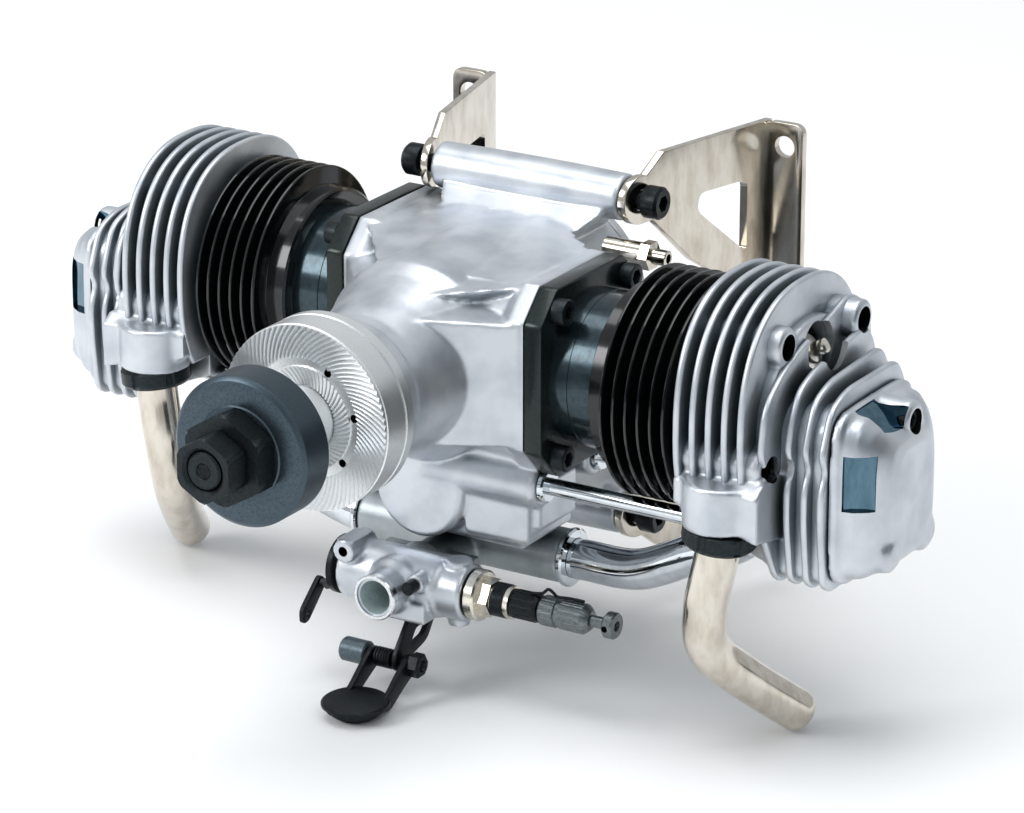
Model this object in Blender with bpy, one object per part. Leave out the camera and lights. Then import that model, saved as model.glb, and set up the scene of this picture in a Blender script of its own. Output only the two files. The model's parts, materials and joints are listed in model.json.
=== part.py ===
"""Horizontally opposed two-cylinder four-stroke model glow engine, modelled as separate pieces.

Frame: the origin is on the crankshaft axis, in the plane of the firewall that the two rear brackets bolt to.
+X is the right cylinder, -Y the propeller, +Z up. Lengths below are millimetres; meshes are stored in metres.
"""
import math

import bmesh
import bpy
import numpy as np
from mathutils import Matrix, Vector

MM = 0.001
GAP = 0.3                       # clearance between neighbouring pieces
SIDES = {"right": 1, "left": -1}

# crank train
STROKE = 22.0
THROW = STROKE / 2
BORE_R = 13.85
ROD_LENGTH = 41.0
ROD_WIDTH = 7.4
CYLINDER_Y = {"right": -70.5, "left": -51.0}
WEB_R = 17.5
WEB_THICK = 4.2
CHAMBER_R = 18.2
JOURNAL_R = 7.5
REAR_JOURNAL_R = 5.0
PIN_R = 4.0
WRIST_R = 3.0
CROWN_TO_WRIST = 9.0
PISTON_LENGTH = 17.0

# propeller drive
HUB_R, HUB_FACE_Y, HUB_REAR_Y = 19.5, -127.8, -116.0
BOSS_R, BOSS_FRONT_Y = 7.1, -141.0
WASHER_R, WASHER_FRONT_Y = 15.5, -150.5
SHAFT_R = 3.9
PROP_NUT_AF, PROP_NUT_FRONT_Y = 17.0, -156.2
LOCK_NUT_AF, LOCK_NUT_FRONT_Y = 12.0, -162.6

# crankcase
CASE_R = 21.5
CASE_FRONT_Y, CASE_REAR_Y = -91.0, -31.0
NOSE_R, NOSE_REAR_R = 15.6, 19.5
FLANGE_X, FLANGE_THICK = 28.0, 4.3
FLANGE_Y, FLANGE_Z, FLANGE_CUT = 19.6, 20.2, 6.5

# camshaft and valve gear
CAM_Z = -23.5
CAM_BOSS_R, CAM_BOSS_Z, CAM_BOSS_FRONT_Y = 10.6, -28.6, -86.0
LOBE_BASE_R, LOBE_TIP_R, LOBE_HALF = 3.9, 5.4, 1.8
CRANK_GEAR_R, CAM_GEAR_R = 7.6, 15.6
CRANK_GEAR_TEETH = 10
GEAR_Y = (-35.5, -32.5)
REAR_BEARING_Y = (-42.2, -36.6)
PUSHROD_Y = 11.0                # from the cylinder axis, to the front and to the rear
PUSHROD_R, TUBE_R, TUBE_BORE = 1.05, 1.8, 1.4
LIFTER_R, LIFTER_X = 3.3, (6.0, 14.0)
TAPPET_BOSS_R, TAPPET_BOSS_X = 5.0, 28.0
ROCKER_PIVOT = (87.0, -13.0)    # x, z of the rocker shaft
ROCKER_TIP_X, ROCKER_TIP_R = 85.8, 1.5
VALVE_Y, VALVE_Z = 7.5, -2.0
VALVE_HEAD_R, VALVE_STEM_R = 5.2, 1.1
VALVE_END_X = ROCKER_TIP_X - ROCKER_TIP_R - GAP
VALVE_LIFT = 2.6

# cylinders
SLEEVE_R, SLEEVE_X = 16.5, (21.0, 65.5)
CORE_R, CORE_X = 19.8, 43.2
FIN_R, FIN_X, FIN_PITCH, FIN_THICK, FIN_COUNT = 24.0, 48.0, 2.85, 1.1, 6

# heads
HEAD_X, HEAD_END_X = 65.8, 96.1
HEAD_FIN_X, HEAD_FIN_PITCH, HEAD_FIN_THICK = 65.8, 3.6, 1.5
HEAD_A, HEAD_B = 25.2, 27.4     # half depth and half height of the tall fins
TALL_FINS = 5
LOW_FINS = ((23.5, 15.0), (18.8, 12.0), (18.4, 10.0), (18.4, 9.0))  # half depth and top of each
CHAMBER_TOP_X = 68.5
ROCKER_BOX = (-14.0, 14.0, -28.5, 3.5)      # y and z limits from the cylinder axis
COVER_X = 107.0
PLUG_TILT = math.radians(29)
PLUG_END = (84.6, 13.2)         # x, z of the plug's outer end

# exhaust and intake
EXHAUST_X, EXHAUST_Y = 75.3, -22.2          # y from the cylinder axis
EXHAUST_R, EXHAUST_BORE = 4.5, 3.7
NUT_R, NUT_Z = 7.1, (-25.2, -19.3)
MANIFOLD_Y, MANIFOLD_Z, MANIFOLD_R, MANIFOLD_X = -66.0, -45.2, 5.8, 25.0
INTAKE_R = 4.3
INTAKE_PORT_X = 71.5

# carburettor
CARB_Y, CARB_Z = -90.0, -47.0
MOUTH_Y, MOUTH_R, MOUTH_BORE = -103.0, 4.9, 3.5
THROTTLE_R = 4.2
NEEDLE_X = (16.4, 50.5)
CHOKE_PIVOT = (-99.0, -61.7)    # y, z
CHOKE_DISC_R = 6.8
CHOKE_DISC = (-112.6, -66.7)    # y, z when open

# brackets
SLEEVE_Y, UPPER_Z, LOWER_Z = -39.6, 26.1, -44.0
MOUNT_SLEEVE_R, MOUNT_SLEEVE_X = 5.0, 23.0
BRACKET_THICK = 1.8
EYE_X, BRACKET_X = 24.6, 33.8      # inner face at the sleeves and at the firewall plane
BRACKET_WIDTH = 10.2
BRACKET_SPINE = 7.5
BRACKET_TOP, BRACKET_BOTTOM = 35.2, -53.1
HOLE_X, HOLE_Z = 39.6, (30.0, -47.9)
HOLE_R = 2.35
MOUNT_SCREW_R = 3.5

# colour, metallic, roughness
FINISHES = {
    "cast_aluminium": ((0.62, 0.64, 0.67), 0.9, 0.42),
    "machined_aluminium": ((0.75, 0.76, 0.78), 1.0, 0.25),
    "black_cylinder": ((0.012, 0.014, 0.016), 0.6, 0.3),
    "blued_steel": ((0.03, 0.04, 0.05), 0.8, 0.38),
    "steel": ((0.48, 0.48, 0.49), 1.0, 0.25),
    "nickel_plate": ((0.72, 0.66, 0.58), 1.0, 0.16),
    "chrome": ((0.72, 0.74, 0.76), 1.0, 0.08),
    "black_oxide": ((0.02, 0.02, 0.022), 0.7, 0.42),
    "brass": ((0.7, 0.52, 0.26), 1.0, 0.25),
}
_made = {}


def finish(name):
    """The named Principled BSDF material, made once."""
    if name not in _made:
        colour, metallic, roughness = FINISHES[name]
        material = bpy.data.materials.new(name)
        material.use_nodes = True
        shader = material.node_tree.nodes["Principled BSDF"]
        shader.inputs["Base Color"].default_value = (*colour, 1.0)
        shader.inputs["Metallic"].default_value = metallic
        shader.inputs["Roughness"].default_value = roughness
        _made[name] = material
    return _made[name]


def shell(name, points, faces, material="steel"):
    """A closed mesh object from points in millimetres, with its faces turned outwards."""
    mesh = bpy.data.meshes.new(name)
    mesh.from_pydata([tuple(p) for p in np.asarray(points, float) * MM], [], faces)
    work = bmesh.new()
    work.from_mesh(mesh)
    bmesh.ops.remove_doubles(work, verts=work.verts, dist=1e-7)
    if work.calc_volume(signed=True) < 0:
        bmesh.ops.reverse_faces(work, faces=work.faces)
    work.to_mesh(mesh)
    work.free()
    mesh.shade_smooth()
    mesh.set_sharp_from_angle(angle=math.radians(35))
    mesh.materials.append(finish(material))
    solid = bpy.data.objects.new(name, mesh)
    bpy.context.scene.collection.objects.link(solid)
    return solid


def spread(axis, along, first, second):
    """Points from a distance along an axis and two distances across it, in right-handed order."""
    order = {"X": (along, first, second), "Y": (second, along, first), "Z": (first, second, along)}
    return np.stack(np.broadcast_arrays(*order[axis]), axis=-1)


def turned(name, axis, centre, profile, material="steel", sides=16):
    """A turned solid: a closed profile of (distance along the axis, radius) carried round the axis."""
    angles = 2 * np.pi * (np.arange(sides) + 0.5) / sides
    points, rings = [], []
    for along, radius in profile:
        if radius == 0:
            rings.append([len(points)] * sides)
            points.append(spread(axis, along, 0.0, 0.0))
        else:
            rings.append(list(range(len(points), len(points) + sides)))
            points.extend(spread(axis, along, radius * np.cos(angles), radius * np.sin(angles)))
    faces = []
    for ring, following in zip(rings, rings[1:] + rings[:1]):
        for i in range(sides):
            j = (i + 1) % sides
            corners = list(dict.fromkeys((ring[i], ring[j], following[j], following[i])))
            if len(corners) > 2:
                faces.append(corners)
    return shell(name, np.array(points) + np.array(centre), faces, material)


def rod(name, axis, centre, low, high, radius, material="steel", sides=16):
    """A plain round bar between two distances along the axis."""
    return turned(name, axis, centre, [(low, 0), (low, radius), (high, radius), (high, 0)], material, sides)


def ring_solid(name, axis, centre, low, high, radius, bore, material="steel", sides=16):
    """A round bar with a bore right through."""
    profile = [(low, bore), (low, radius), (high, radius), (high, bore)]
    return turned(name, axis, centre, profile, material, sides)


def loft(name, axis, sections, material="steel"):
    """A solid through flat sections, each a distance along the axis and its outline of points across it."""
    points, count = [], len(sections[0][1])
    for along, outline in sections:
        outline = np.array(outline, float)
        points.extend(spread(axis, along, outline[:, 0], outline[:, 1]))
    faces = [list(range(count))[::-1], list(range(len(points) - count, len(points)))]
    for level in range(len(sections) - 1):
        base = level * count
        for i in range(count):
            j = (i + 1) % count
            faces.append([base + i, base + j, base + count + j, base + count + i])
    return shell(name, points, faces, material)


def plate(name, axis, low, high, outline, material="steel"):
    """A flat solid of constant thickness with the given outline."""
    return loft(name, axis, [(low, outline), (high, outline)], material)


def hull(name, points, material="steel"):
    """The convex solid around a set of points."""
    work = bmesh.new()
    for point in points:
        work.verts.new(Vector(point) * MM)
    result = bmesh.ops.convex_hull(work, input=work.verts)
    inside = {item for key in ("geom_interior", "geom_unused") for item in result[key]}
    bmesh.ops.delete(work, geom=[v for v in inside if isinstance(v, bmesh.types.BMVert)], context="VERTS")
    corners = [tuple(v.co / MM) for v in work.verts]
    work.verts.index_update()
    faces = [[v.index for v in f.verts] for f in work.faces]
    work.free()
    return shell(name, corners, faces, material)


def box(name, low, high, material="steel"):
    """A rectangular solid between two corners."""
    (x0, y0, z0), (x1, y1, z1) = low, high
    return plate(name, "Z", z0, z1, [(x0, y0), (x1, y0), (x1, y1), (x0, y1)], material)


def smooth_path(corners, step):
    """Points a step apart on a Catmull-Rom curve through the corners."""
    corners = np.array(corners, float)
    padded = np.vstack([2 * corners[0] - corners[1], corners, 2 * corners[-1] - corners[-2]])
    path = [corners[0]]
    for a, b, c, d in zip(padded, padded[1:], padded[2:], padded[3:]):
        parts = max(2, round(np.linalg.norm(c - b) / step))
        for t in np.arange(1, parts + 1) / parts:
            path.append(0.5 * (2 * b + (c - a) * t + (2 * a - 5 * b + 4 * c - d) * t * t
                               + (3 * b - a - 3 * c + d) * t ** 3))
    return np.array(path)


def pipe(name, path, radius, bore, material="nickel_plate", sides=10):
    """A bent round tube: an outer and an inner skin of rings square to the path, joined at both ends."""
    path = np.array(path, float)
    tangents = np.gradient(path, axis=0)
    tangents /= np.linalg.norm(tangents, axis=1)[:, None]
    side = np.cross(tangents[0], (0.31, 0.52, 0.79))
    angles = 2 * np.pi * np.arange(sides) / sides
    rings = {radius: [], bore: []}
    for point, tangent in zip(path, tangents):
        side = side - tangent * np.dot(side, tangent)
        side /= np.linalg.norm(side)
        other = np.cross(tangent, side)
        circle = np.outer(np.cos(angles), side) + np.outer(np.sin(angles), other)
        for size in rings:
            rings[size].append(point + size * circle)
    points = np.concatenate(rings[radius] + rings[bore][::-1])
    levels = 2 * len(path)
    faces = []
    for level in range(levels):
        here, there = level * sides, (level + 1) % levels * sides
        for i in range(sides):
            j = (i + 1) % sides
            faces.append([here + i, here + j, there + j, there + i])
    return shell(name, points, faces, material)


def combine(target, tools, operation):
    """Apply one Boolean per tool to the target and remove the tools."""
    for tool in tools:
        modifier = target.modifiers.new("combine", "BOOLEAN")
        modifier.operation = operation
        modifier.object = tool
        modifier.solver = "EXACT"
        bpy.context.view_layer.update()
        evaluated = target.evaluated_get(bpy.context.evaluated_depsgraph_get())
        mesh = bpy.data.meshes.new_from_object(evaluated)
        target.modifiers.clear()
        work = bmesh.new()
        work.from_mesh(mesh)
        bmesh.ops.remove_doubles(work, verts=work.verts, dist=2e-6)
        bmesh.ops.dissolve_degenerate(work, edges=work.edges, dist=1e-6)
        work.to_mesh(mesh)
        work.free()
        target.data = mesh
        bpy.data.objects.remove(tool)
    return target


def join(target, *tools):
    """Fuse the tools into the target."""
    return combine(target, tools, "UNION")


def cut(target, *tools):
    """Cut the tools out of the target."""
    return combine(target, tools, "DIFFERENCE")


def pivot_at(solid, x, y, z):
    """Put the object's origin on its joint axis without moving its shape."""
    solid.data.transform(Matrix.Translation((-x * MM, -y * MM, -z * MM)))
    solid.location = (x * MM, y * MM, z * MM)


def circle_points(centre, radius, count, start=0.0, turn=360.0):
    """Points of an arc in the plane across an axis."""
    angles = np.radians(start + turn * np.arange(count) / (count if turn == 360.0 else count - 1))
    return [(centre[0] + radius * math.cos(a), centre[1] + radius * math.sin(a)) for a in angles]


def hexagon(across_flats):
    """The corners of a hexagon centred on its axis."""
    return circle_points((0, 0), across_flats / math.sqrt(3), 6, 30)


def chamfered(half_first, half_second, corner, centre=(0, 0)):
    """A rectangle with its four corners cut off."""
    a, b, c = half_first, half_second, corner
    raw = [(a, -b + c), (a, b - c), (a - c, b), (-a + c, b), (-a, b - c), (-a, -b + c), (-a + c, -b), (a - c, -b)]
    return [(centre[0] + p, centre[1] + q) for p, q in raw]


def both_ends(side, low, high):
    """Distances along X for one side, in rising order."""
    return sorted((side * low, side * high))


# ---- crankcase ----------------------------------------------------------------------------------

def make_crankcase():
    """One casting: crank drum, nose, two cylinder seats, camshaft tunnel, tappet bosses and mount sleeves."""
    case = turned("crankcase", "Y", (0, 0, 0),
                  [(HUB_REAR_Y + GAP, 0), (HUB_REAR_Y + GAP, NOSE_R), (-106, NOSE_R), (CASE_FRONT_Y, NOSE_REAR_R),
                   (CASE_FRONT_Y + 3, CASE_R), (CASE_REAR_Y, CASE_R), (CASE_REAR_Y, 0)], "cast_aluminium", 20)
    for name, s in SIDES.items():
        y = CYLINDER_Y[name]
        seat = chamfered(FLANGE_Y, FLANGE_Z, FLANGE_CUT, (y, 0))
        root = chamfered(FLANGE_Y - 1, FLANGE_Z - 1, FLANGE_CUT, (y, 0))
        seat_solid = loft("seat", "X", [(s * 2, root), (s * 18, root), (s * FLANGE_X, seat)][::s])
        fairing = hull("fairing", [(0, -104, 15), (0, -104, -13)]
                       + [(s * FLANGE_X, y + a, b) for a in (-FLANGE_Y + 1, 4) for b in (-13, 13)]
                       + [(s * 4, y + 6, b) for b in (-19, 19)])
        join(case, seat_solid, fairing)
        for offset in (-PUSHROD_Y, PUSHROD_Y):
            low, high = both_ends(s, 1, TAPPET_BOSS_X)
            boss = rod("boss", "X", (0, y + offset, CAM_Z), low, high, TAPPET_BOSS_R, sides=12)
            web = box("web", (min(0, s * 24), y + offset - 3, CAM_Z), (max(0, s * 24), y + offset + 3, -14))
            join(case, boss, web)
    cam_tunnel = rod("tunnel", "Y", (0, 0, CAM_BOSS_Z), CAM_BOSS_FRONT_Y, CASE_REAR_Y, CAM_BOSS_R)
    gear_house = rod("gears", "Y", (0, 0, CAM_Z), GEAR_Y[0] - 3.5, CASE_REAR_Y, CAM_GEAR_R + 2.6, sides=20)
    join(case, cam_tunnel, gear_house)
    for z, foot in ((UPPER_Z, 14.0), (LOWER_Z, -30.0)):
        sleeve = rod("sleeve", "X", (0, SLEEVE_Y, z), -MOUNT_SLEEVE_X, MOUNT_SLEEVE_X, MOUNT_SLEEVE_R, sides=12)
        lean = 1 if z > 0 else -1
        corners = [(x, y, z - lean * 1.5) for x in (-20.5, 20.5) for y in (SLEEVE_Y - 4, SLEEVE_Y + 3.8)]
        corners += [(x, y, foot) for x in (-11, 11) for y in (SLEEVE_Y - 22, CASE_REAR_Y)]
        join(case, hull("gusset", corners), sleeve)
    join(case, box("foot", (12, -84, -37), (25.5, -66, -27)))
    return cut_crankcase(case)


def cut_crankcase(case):
    """The chambers, tunnels and bores of the casting."""
    front_web_y = CYLINDER_Y["right"] - ROD_WIDTH / 2 - GAP - WEB_THICK
    rear = CASE_REAR_Y + 5
    cutters = [rod("chamber", "Y", (0, 0, 0), front_web_y - 0.5, REAR_BEARING_Y[0] - 0.2, CHAMBER_R, sides=20),
               rod("nose_bore", "Y", (0, 0, 0), HUB_REAR_Y - 5, front_web_y, JOURNAL_R + GAP),
               rod("front_seat", "Y", (0, 0, 0), front_web_y - 8.5, front_web_y, 11.3),
               rod("rear_seat", "Y", (0, 0, 0), REAR_BEARING_Y[0] - 1, rear, 9.5),
               rod("cam_bore", "Y", (0, 0, CAM_Z), CAM_BOSS_FRONT_Y + 2, rear, LOBE_TIP_R + 0.9, sides=14),
               rod("gear_bore", "Y", (0, 0, CAM_Z), GEAR_Y[0] - 0.7, rear, CAM_GEAR_R + 0.7, sides=20)]
    for name, s in SIDES.items():
        y = CYLINDER_Y[name]
        low, high = both_ends(s, 4, FLANGE_X + 5)
        cutters.append(rod("cylinder_bore", "X", (0, y, 0), low, high, SLEEVE_R + GAP, sides=20))
        for offset in (-PUSHROD_Y, PUSHROD_Y):
            low, high = both_ends(s, 0.5, 18)
            cutters.append(rod("lifter_bore", "X", (0, y + offset, CAM_Z), low, high, LIFTER_R + GAP, sides=10))
            low, high = both_ends(s, 15, TAPPET_BOSS_X + 5)
            cutters.append(rod("tube_bore", "X", (0, y + offset, CAM_Z), low, high, TUBE_R + GAP, sides=10))
        for z in (UPPER_Z, LOWER_Z):
            low, high = both_ends(s, 12, MOUNT_SLEEVE_X + 5)
            cutters.append(rod("screw_bore", "X", (0, SLEEVE_Y, z), low, high, 2.3, sides=12))
    return cut(case, *cutters)


def make_rear_cover():
    """The flat plate that closes the crank drum and the timing gears, with a bearing boss inside."""
    y0 = CASE_REAR_Y + GAP
    lower = circle_points((0, CAM_Z), CAM_GEAR_R + 2.6, 11, 198, 144)
    upper = circle_points((0, 0), CASE_R, 17, -18, 216)
    outline = upper + lower
    cover = plate("rear_cover", "Y", y0, y0 + 2.6, [(z, x) for x, z in outline], "cast_aluminium")
    boss = rod("boss", "Y", (0, 0, 0), y0 - 1.2, y0 + 4.4, 9.2)
    join(cover, boss)
    return cut(cover, rod("seat", "Y", (0, 0, 0), y0 - 5, y0 + 3.0, REAR_JOURNAL_R + GAP))


# ---- crank train --------------------------------------------------------------------------------

def make_crank():
    """Front shaft with its web, the two further webs, the driving hub and what clamps the propeller."""
    right, left = CYLINDER_Y["right"], CYLINDER_Y["left"]
    half = ROD_WIDTH / 2 + GAP
    front = right - half - WEB_THICK
    shaft = turned("crankshaft", "Y", (0, 0, 0),
                   [(LOCK_NUT_FRONT_Y + 1.2, 0), (LOCK_NUT_FRONT_Y + 1.2, SHAFT_R), (BOSS_FRONT_Y + 1, SHAFT_R),
                    (HUB_REAR_Y - 1, SHAFT_R), (HUB_REAR_Y - 1, JOURNAL_R - 1), (HUB_REAR_Y + GAP, JOURNAL_R),
                    (front, JOURNAL_R), (front, WEB_R), (front + WEB_THICK, WEB_R), (front + WEB_THICK, 0)])
    middle = rod("crank_web_middle", "Y", (0, 0, 0), right + half, left - half, WEB_R, sides=20)
    rear = turned("crank_web_rear", "Y", (0, 0, 0),
                  [(left + half, 0), (left + half, WEB_R), (left + half + WEB_THICK, WEB_R),
                   (left + half + WEB_THICK, REAR_JOURNAL_R), (CASE_REAR_Y + 2.5, REAR_JOURNAL_R),
                   (CASE_REAR_Y + 2.5, 0)], sides=20)
    join(rear, make_gear("gear", CRANK_GEAR_R, CRANK_GEAR_TEETH, 0.0))
    hub = turned("drive_hub", "Y", (0, 0, 0),
                 [(BOSS_FRONT_Y, SHAFT_R + GAP), (BOSS_FRONT_Y, BOSS_R - 0.4), (BOSS_FRONT_Y + 0.4, BOSS_R),
                  (HUB_FACE_Y, BOSS_R), (HUB_FACE_Y, 11.2), (HUB_FACE_Y + 0.6, 11.5),
                  (HUB_FACE_Y + 0.6, 12.3), (HUB_FACE_Y, 12.6), (HUB_FACE_Y, HUB_R - 0.4),
                  (HUB_FACE_Y + 0.4, HUB_R), (HUB_REAR_Y - 1.2, HUB_R), (HUB_REAR_Y - GAP, HUB_R - 1.2),
                  (HUB_REAR_Y - GAP, JOURNAL_R + 2), (HUB_REAR_Y - 1.5, JOURNAL_R + 2),
                  (HUB_REAR_Y - 1.5, SHAFT_R + GAP)], "machined_aluminium", 20)
    washer = turned("prop_washer", "Y", (0, 0, 0),
                    [(WASHER_FRONT_Y, SHAFT_R + GAP), (WASHER_FRONT_Y, WASHER_R - 0.9),
                     (WASHER_FRONT_Y + 0.9, WASHER_R), (BOSS_FRONT_Y - GAP - 0.6, WASHER_R),
                     (BOSS_FRONT_Y - GAP, WASHER_R - 0.6), (BOSS_FRONT_Y - GAP, SHAFT_R + GAP)],
                    "blued_steel", 20)
    prop_nut = plate("prop_nut", "Y", PROP_NUT_FRONT_Y, WASHER_FRONT_Y - GAP, hexagon(PROP_NUT_AF), "blued_steel")
    lock_nut = plate("lock_nut", "Y", LOCK_NUT_FRONT_Y, PROP_NUT_FRONT_Y - GAP, hexagon(LOCK_NUT_AF),
                     "blued_steel")
    for nut in (prop_nut, lock_nut):
        cut(nut, rod("thread", "Y", (0, 0, 0), -170, -140, SHAFT_R + GAP, sides=20))
    for piece in (shaft, middle, rear, hub, washer, prop_nut, lock_nut):
        pivot_at(piece, 0, CYLINDER_Y["right"], 0)


def make_gear(name, tip_radius, teeth, z):
    """A spur gear with short straight-sided teeth."""
    outline = []
    root_radius = tip_radius - 1.1
    for tooth in range(teeth):
        for radius, part in ((root_radius, -0.34), (tip_radius, -0.16), (tip_radius, 0.16), (root_radius, 0.34)):
            angle = 2 * math.pi * (tooth + part) / teeth
            outline.append((z + radius * math.cos(angle), radius * math.sin(angle)))
    return plate(name, "Y", *GEAR_Y, outline)


def make_reciprocating(name, s):
    """Crank pin, connecting rod, wrist pin and piston of one side, at top dead centre."""
    y = CYLINDER_Y[name]
    wrist_x = THROW + ROD_LENGTH
    half = ROD_WIDTH / 2
    pin = rod("crank_pin_" + name, "Y", (s * THROW, 0, 0), y - half, y + half, PIN_R, sides=16)
    pivot_at(pin, s * THROW / 2, y, 0)
    big = circle_points((THROW, 0), PIN_R + 2.7, 12, 40, 280)
    small = circle_points((wrist_x, 0), WRIST_R + 2.4, 10, -140, 280)
    outline = [(z, s * x) for x, z in big + small]
    con_rod = plate("connecting_rod_" + name, "Y", y - half + 0.2, y + half - 0.2, outline, "steel")
    for x, radius in ((THROW, PIN_R), (wrist_x, WRIST_R)):
        cut(con_rod, rod("eye", "Y", (s * x, 0, 0), y - 10, y + 10, radius + GAP, sides=14))
    wrist = rod("wrist_pin_" + name, "Y", (s * wrist_x, 0, 0), y - BORE_R + 2, y + BORE_R - 2, WRIST_R, sides=14)
    crown = wrist_x + CROWN_TO_WRIST
    skirt = crown - PISTON_LENGTH
    radius = BORE_R - GAP
    profile = [(crown, 0), (crown, radius), (skirt, radius), (skirt, radius - 1.8),
               (crown - 3.2, radius - 1.8), (crown - 3.2, 0)]
    piston = turned("piston_" + name, "X", (0, y, 0), [(s * a, r) for a, r in profile], "machined_aluminium", 20)
    cut(piston, rod("eye", "Y", (s * wrist_x, 0, 0), y - 20, y + 20, WRIST_R + GAP, sides=12))
    for piece in (con_rod, wrist, piston):
        pivot_at(piece, s * THROW, y, 0)


def make_camshaft():
    """Camshaft with its gear and four egg-shaped lobes, below the crank and parallel to it."""
    shaft = rod("camshaft", "Y", (0, 0, CAM_Z), CAM_BOSS_FRONT_Y + 3, GEAR_Y[1] + 1.4, 3.0, sides=12)
    for index, (name, s) in enumerate(SIDES.items()):
        for number, offset in enumerate((-PUSHROD_Y, PUSHROD_Y)):
            phase = math.radians(110 * number + 180 * index)
            outline = []
            for step in range(14):
                angle = 2 * math.pi * step / 14
                rise = max(0.0, math.cos(angle - phase)) ** 2
                radius = LOBE_BASE_R + (LOBE_TIP_R - LOBE_BASE_R) * rise
                outline.append((CAM_Z + radius * math.cos(angle), radius * math.sin(angle)))
            y = CYLINDER_Y[name] + offset
            join(shaft, plate("lobe", "Y", y - LOBE_HALF, y + LOBE_HALF, outline))
    join(shaft, make_gear("gear", CAM_GEAR_R, 2 * CRANK_GEAR_TEETH, CAM_Z))
    pivot_at(shaft, 0, CASE_REAR_Y, CAM_Z)


# ---- cylinders and heads ------------------------------------------------------------------------

def make_cylinder(name, s):
    """Liner, chamfered square foot flange and finned barrel, turned and milled in one piece."""
    y = CYLINDER_Y[name]
    top = SLEEVE_X[1]
    profile = [(SLEEVE_X[0], BORE_R), (SLEEVE_X[0], SLEEVE_R - 0.6), (SLEEVE_X[0] + 0.6, SLEEVE_R),
               (CORE_X, SLEEVE_R), (CORE_X, CORE_R)]
    for number in range(FIN_COUNT):
        x = FIN_X + number * FIN_PITCH
        profile += [(x, CORE_R), (x, FIN_R), (x + FIN_THICK, FIN_R), (x + FIN_THICK, CORE_R)]
    profile += [(top, CORE_R), (top, BORE_R)]
    barrel = turned("cylinder_" + name, "X", (0, y, 0), [(s * a, r) for a, r in profile], "black_cylinder", 16)
    low, high = both_ends(s, FLANGE_X + GAP, FLANGE_X + FLANGE_THICK)
    foot = plate("foot", "X", low, high, chamfered(FLANGE_Y, FLANGE_Z, FLANGE_CUT, (y, 0)))
    cut(foot, rod("bore", "X", (0, y, 0), low - 5, high + 5, SLEEVE_R - 1, sides=16))
    return join(barrel, foot)


def head_outline(half_depth, half_height, bottom, count=16):
    """A squarish round fin outline with a flat bottom edge."""
    points = []
    for step in range(count):
        angle = 2 * math.pi * step / count
        c, d = math.cos(angle), math.sin(angle)
        a = half_depth * math.copysign(abs(c) ** 0.84, c)
        b = half_height * math.copysign(abs(d) ** 0.84, d)
        points.append((a, max(b, bottom)))
    return points


def make_head(name, s):
    """Cylinder head: combustion face, cooling fins, rocker box, ports and plug seat in one casting."""
    y = CYLINDER_Y[name]

    def shifted(outline):
        return [(y + a, b) for a, b in outline]

    def slab(label, x0, x1, outline):
        low, high = both_ends(s, x0, x1)
        return plate(label, "X", low, high, shifted(outline))

    head = rod("head_" + name, "X", (0, y, 0), *both_ends(s, HEAD_X, 86.0), 19.5, "cast_aluminium", 16)
    box_low = [(-15.8, -30.2), (15.8, -30.2), (15.8, 2), (12, 6), (-12, 6), (-15.8, 2)]
    parts = [slab("rocker_box", 83.0, HEAD_END_X, box_low),
             slab("floor", HEAD_X, 84.0, [(-14.2, -27), (14.5, -27), (18, -20), (18, -8), (-24, -8), (-28, -12),
                                          (-28, -18.8), (-14.2, -18.8)])]
    for number in range(TALL_FINS):
        x = HEAD_FIN_X + number * HEAD_FIN_PITCH
        parts.append(slab("fin", x, x + HEAD_FIN_THICK, head_outline(HEAD_A, HEAD_B, -17.0)))
    for number, (half, top) in enumerate(LOW_FINS):
        x = HEAD_FIN_X + (TALL_FINS + number) * HEAD_FIN_PITCH
        edge = [(-16.6, -29.5), (-14.5, -31.6), (14.5, -31.6), (16.6, -29.5), (half, -16), (half, -5),
                (half - 4.5, top - 5), (10, top), (-10, top), (4.0 - half, top - 6), (-half, -5), (-half, -16)]
        parts.append(slab("fin", x, x + HEAD_FIN_THICK, edge))
    port_x = s * EXHAUST_X
    parts.append(rod("exhaust_boss", "Z", (port_x, y + EXHAUST_Y, 0), -19.0, -9.0, 8.0, sides=12))
    join(head, *parts)
    return cut(head, *head_cutters(name, s))


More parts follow.
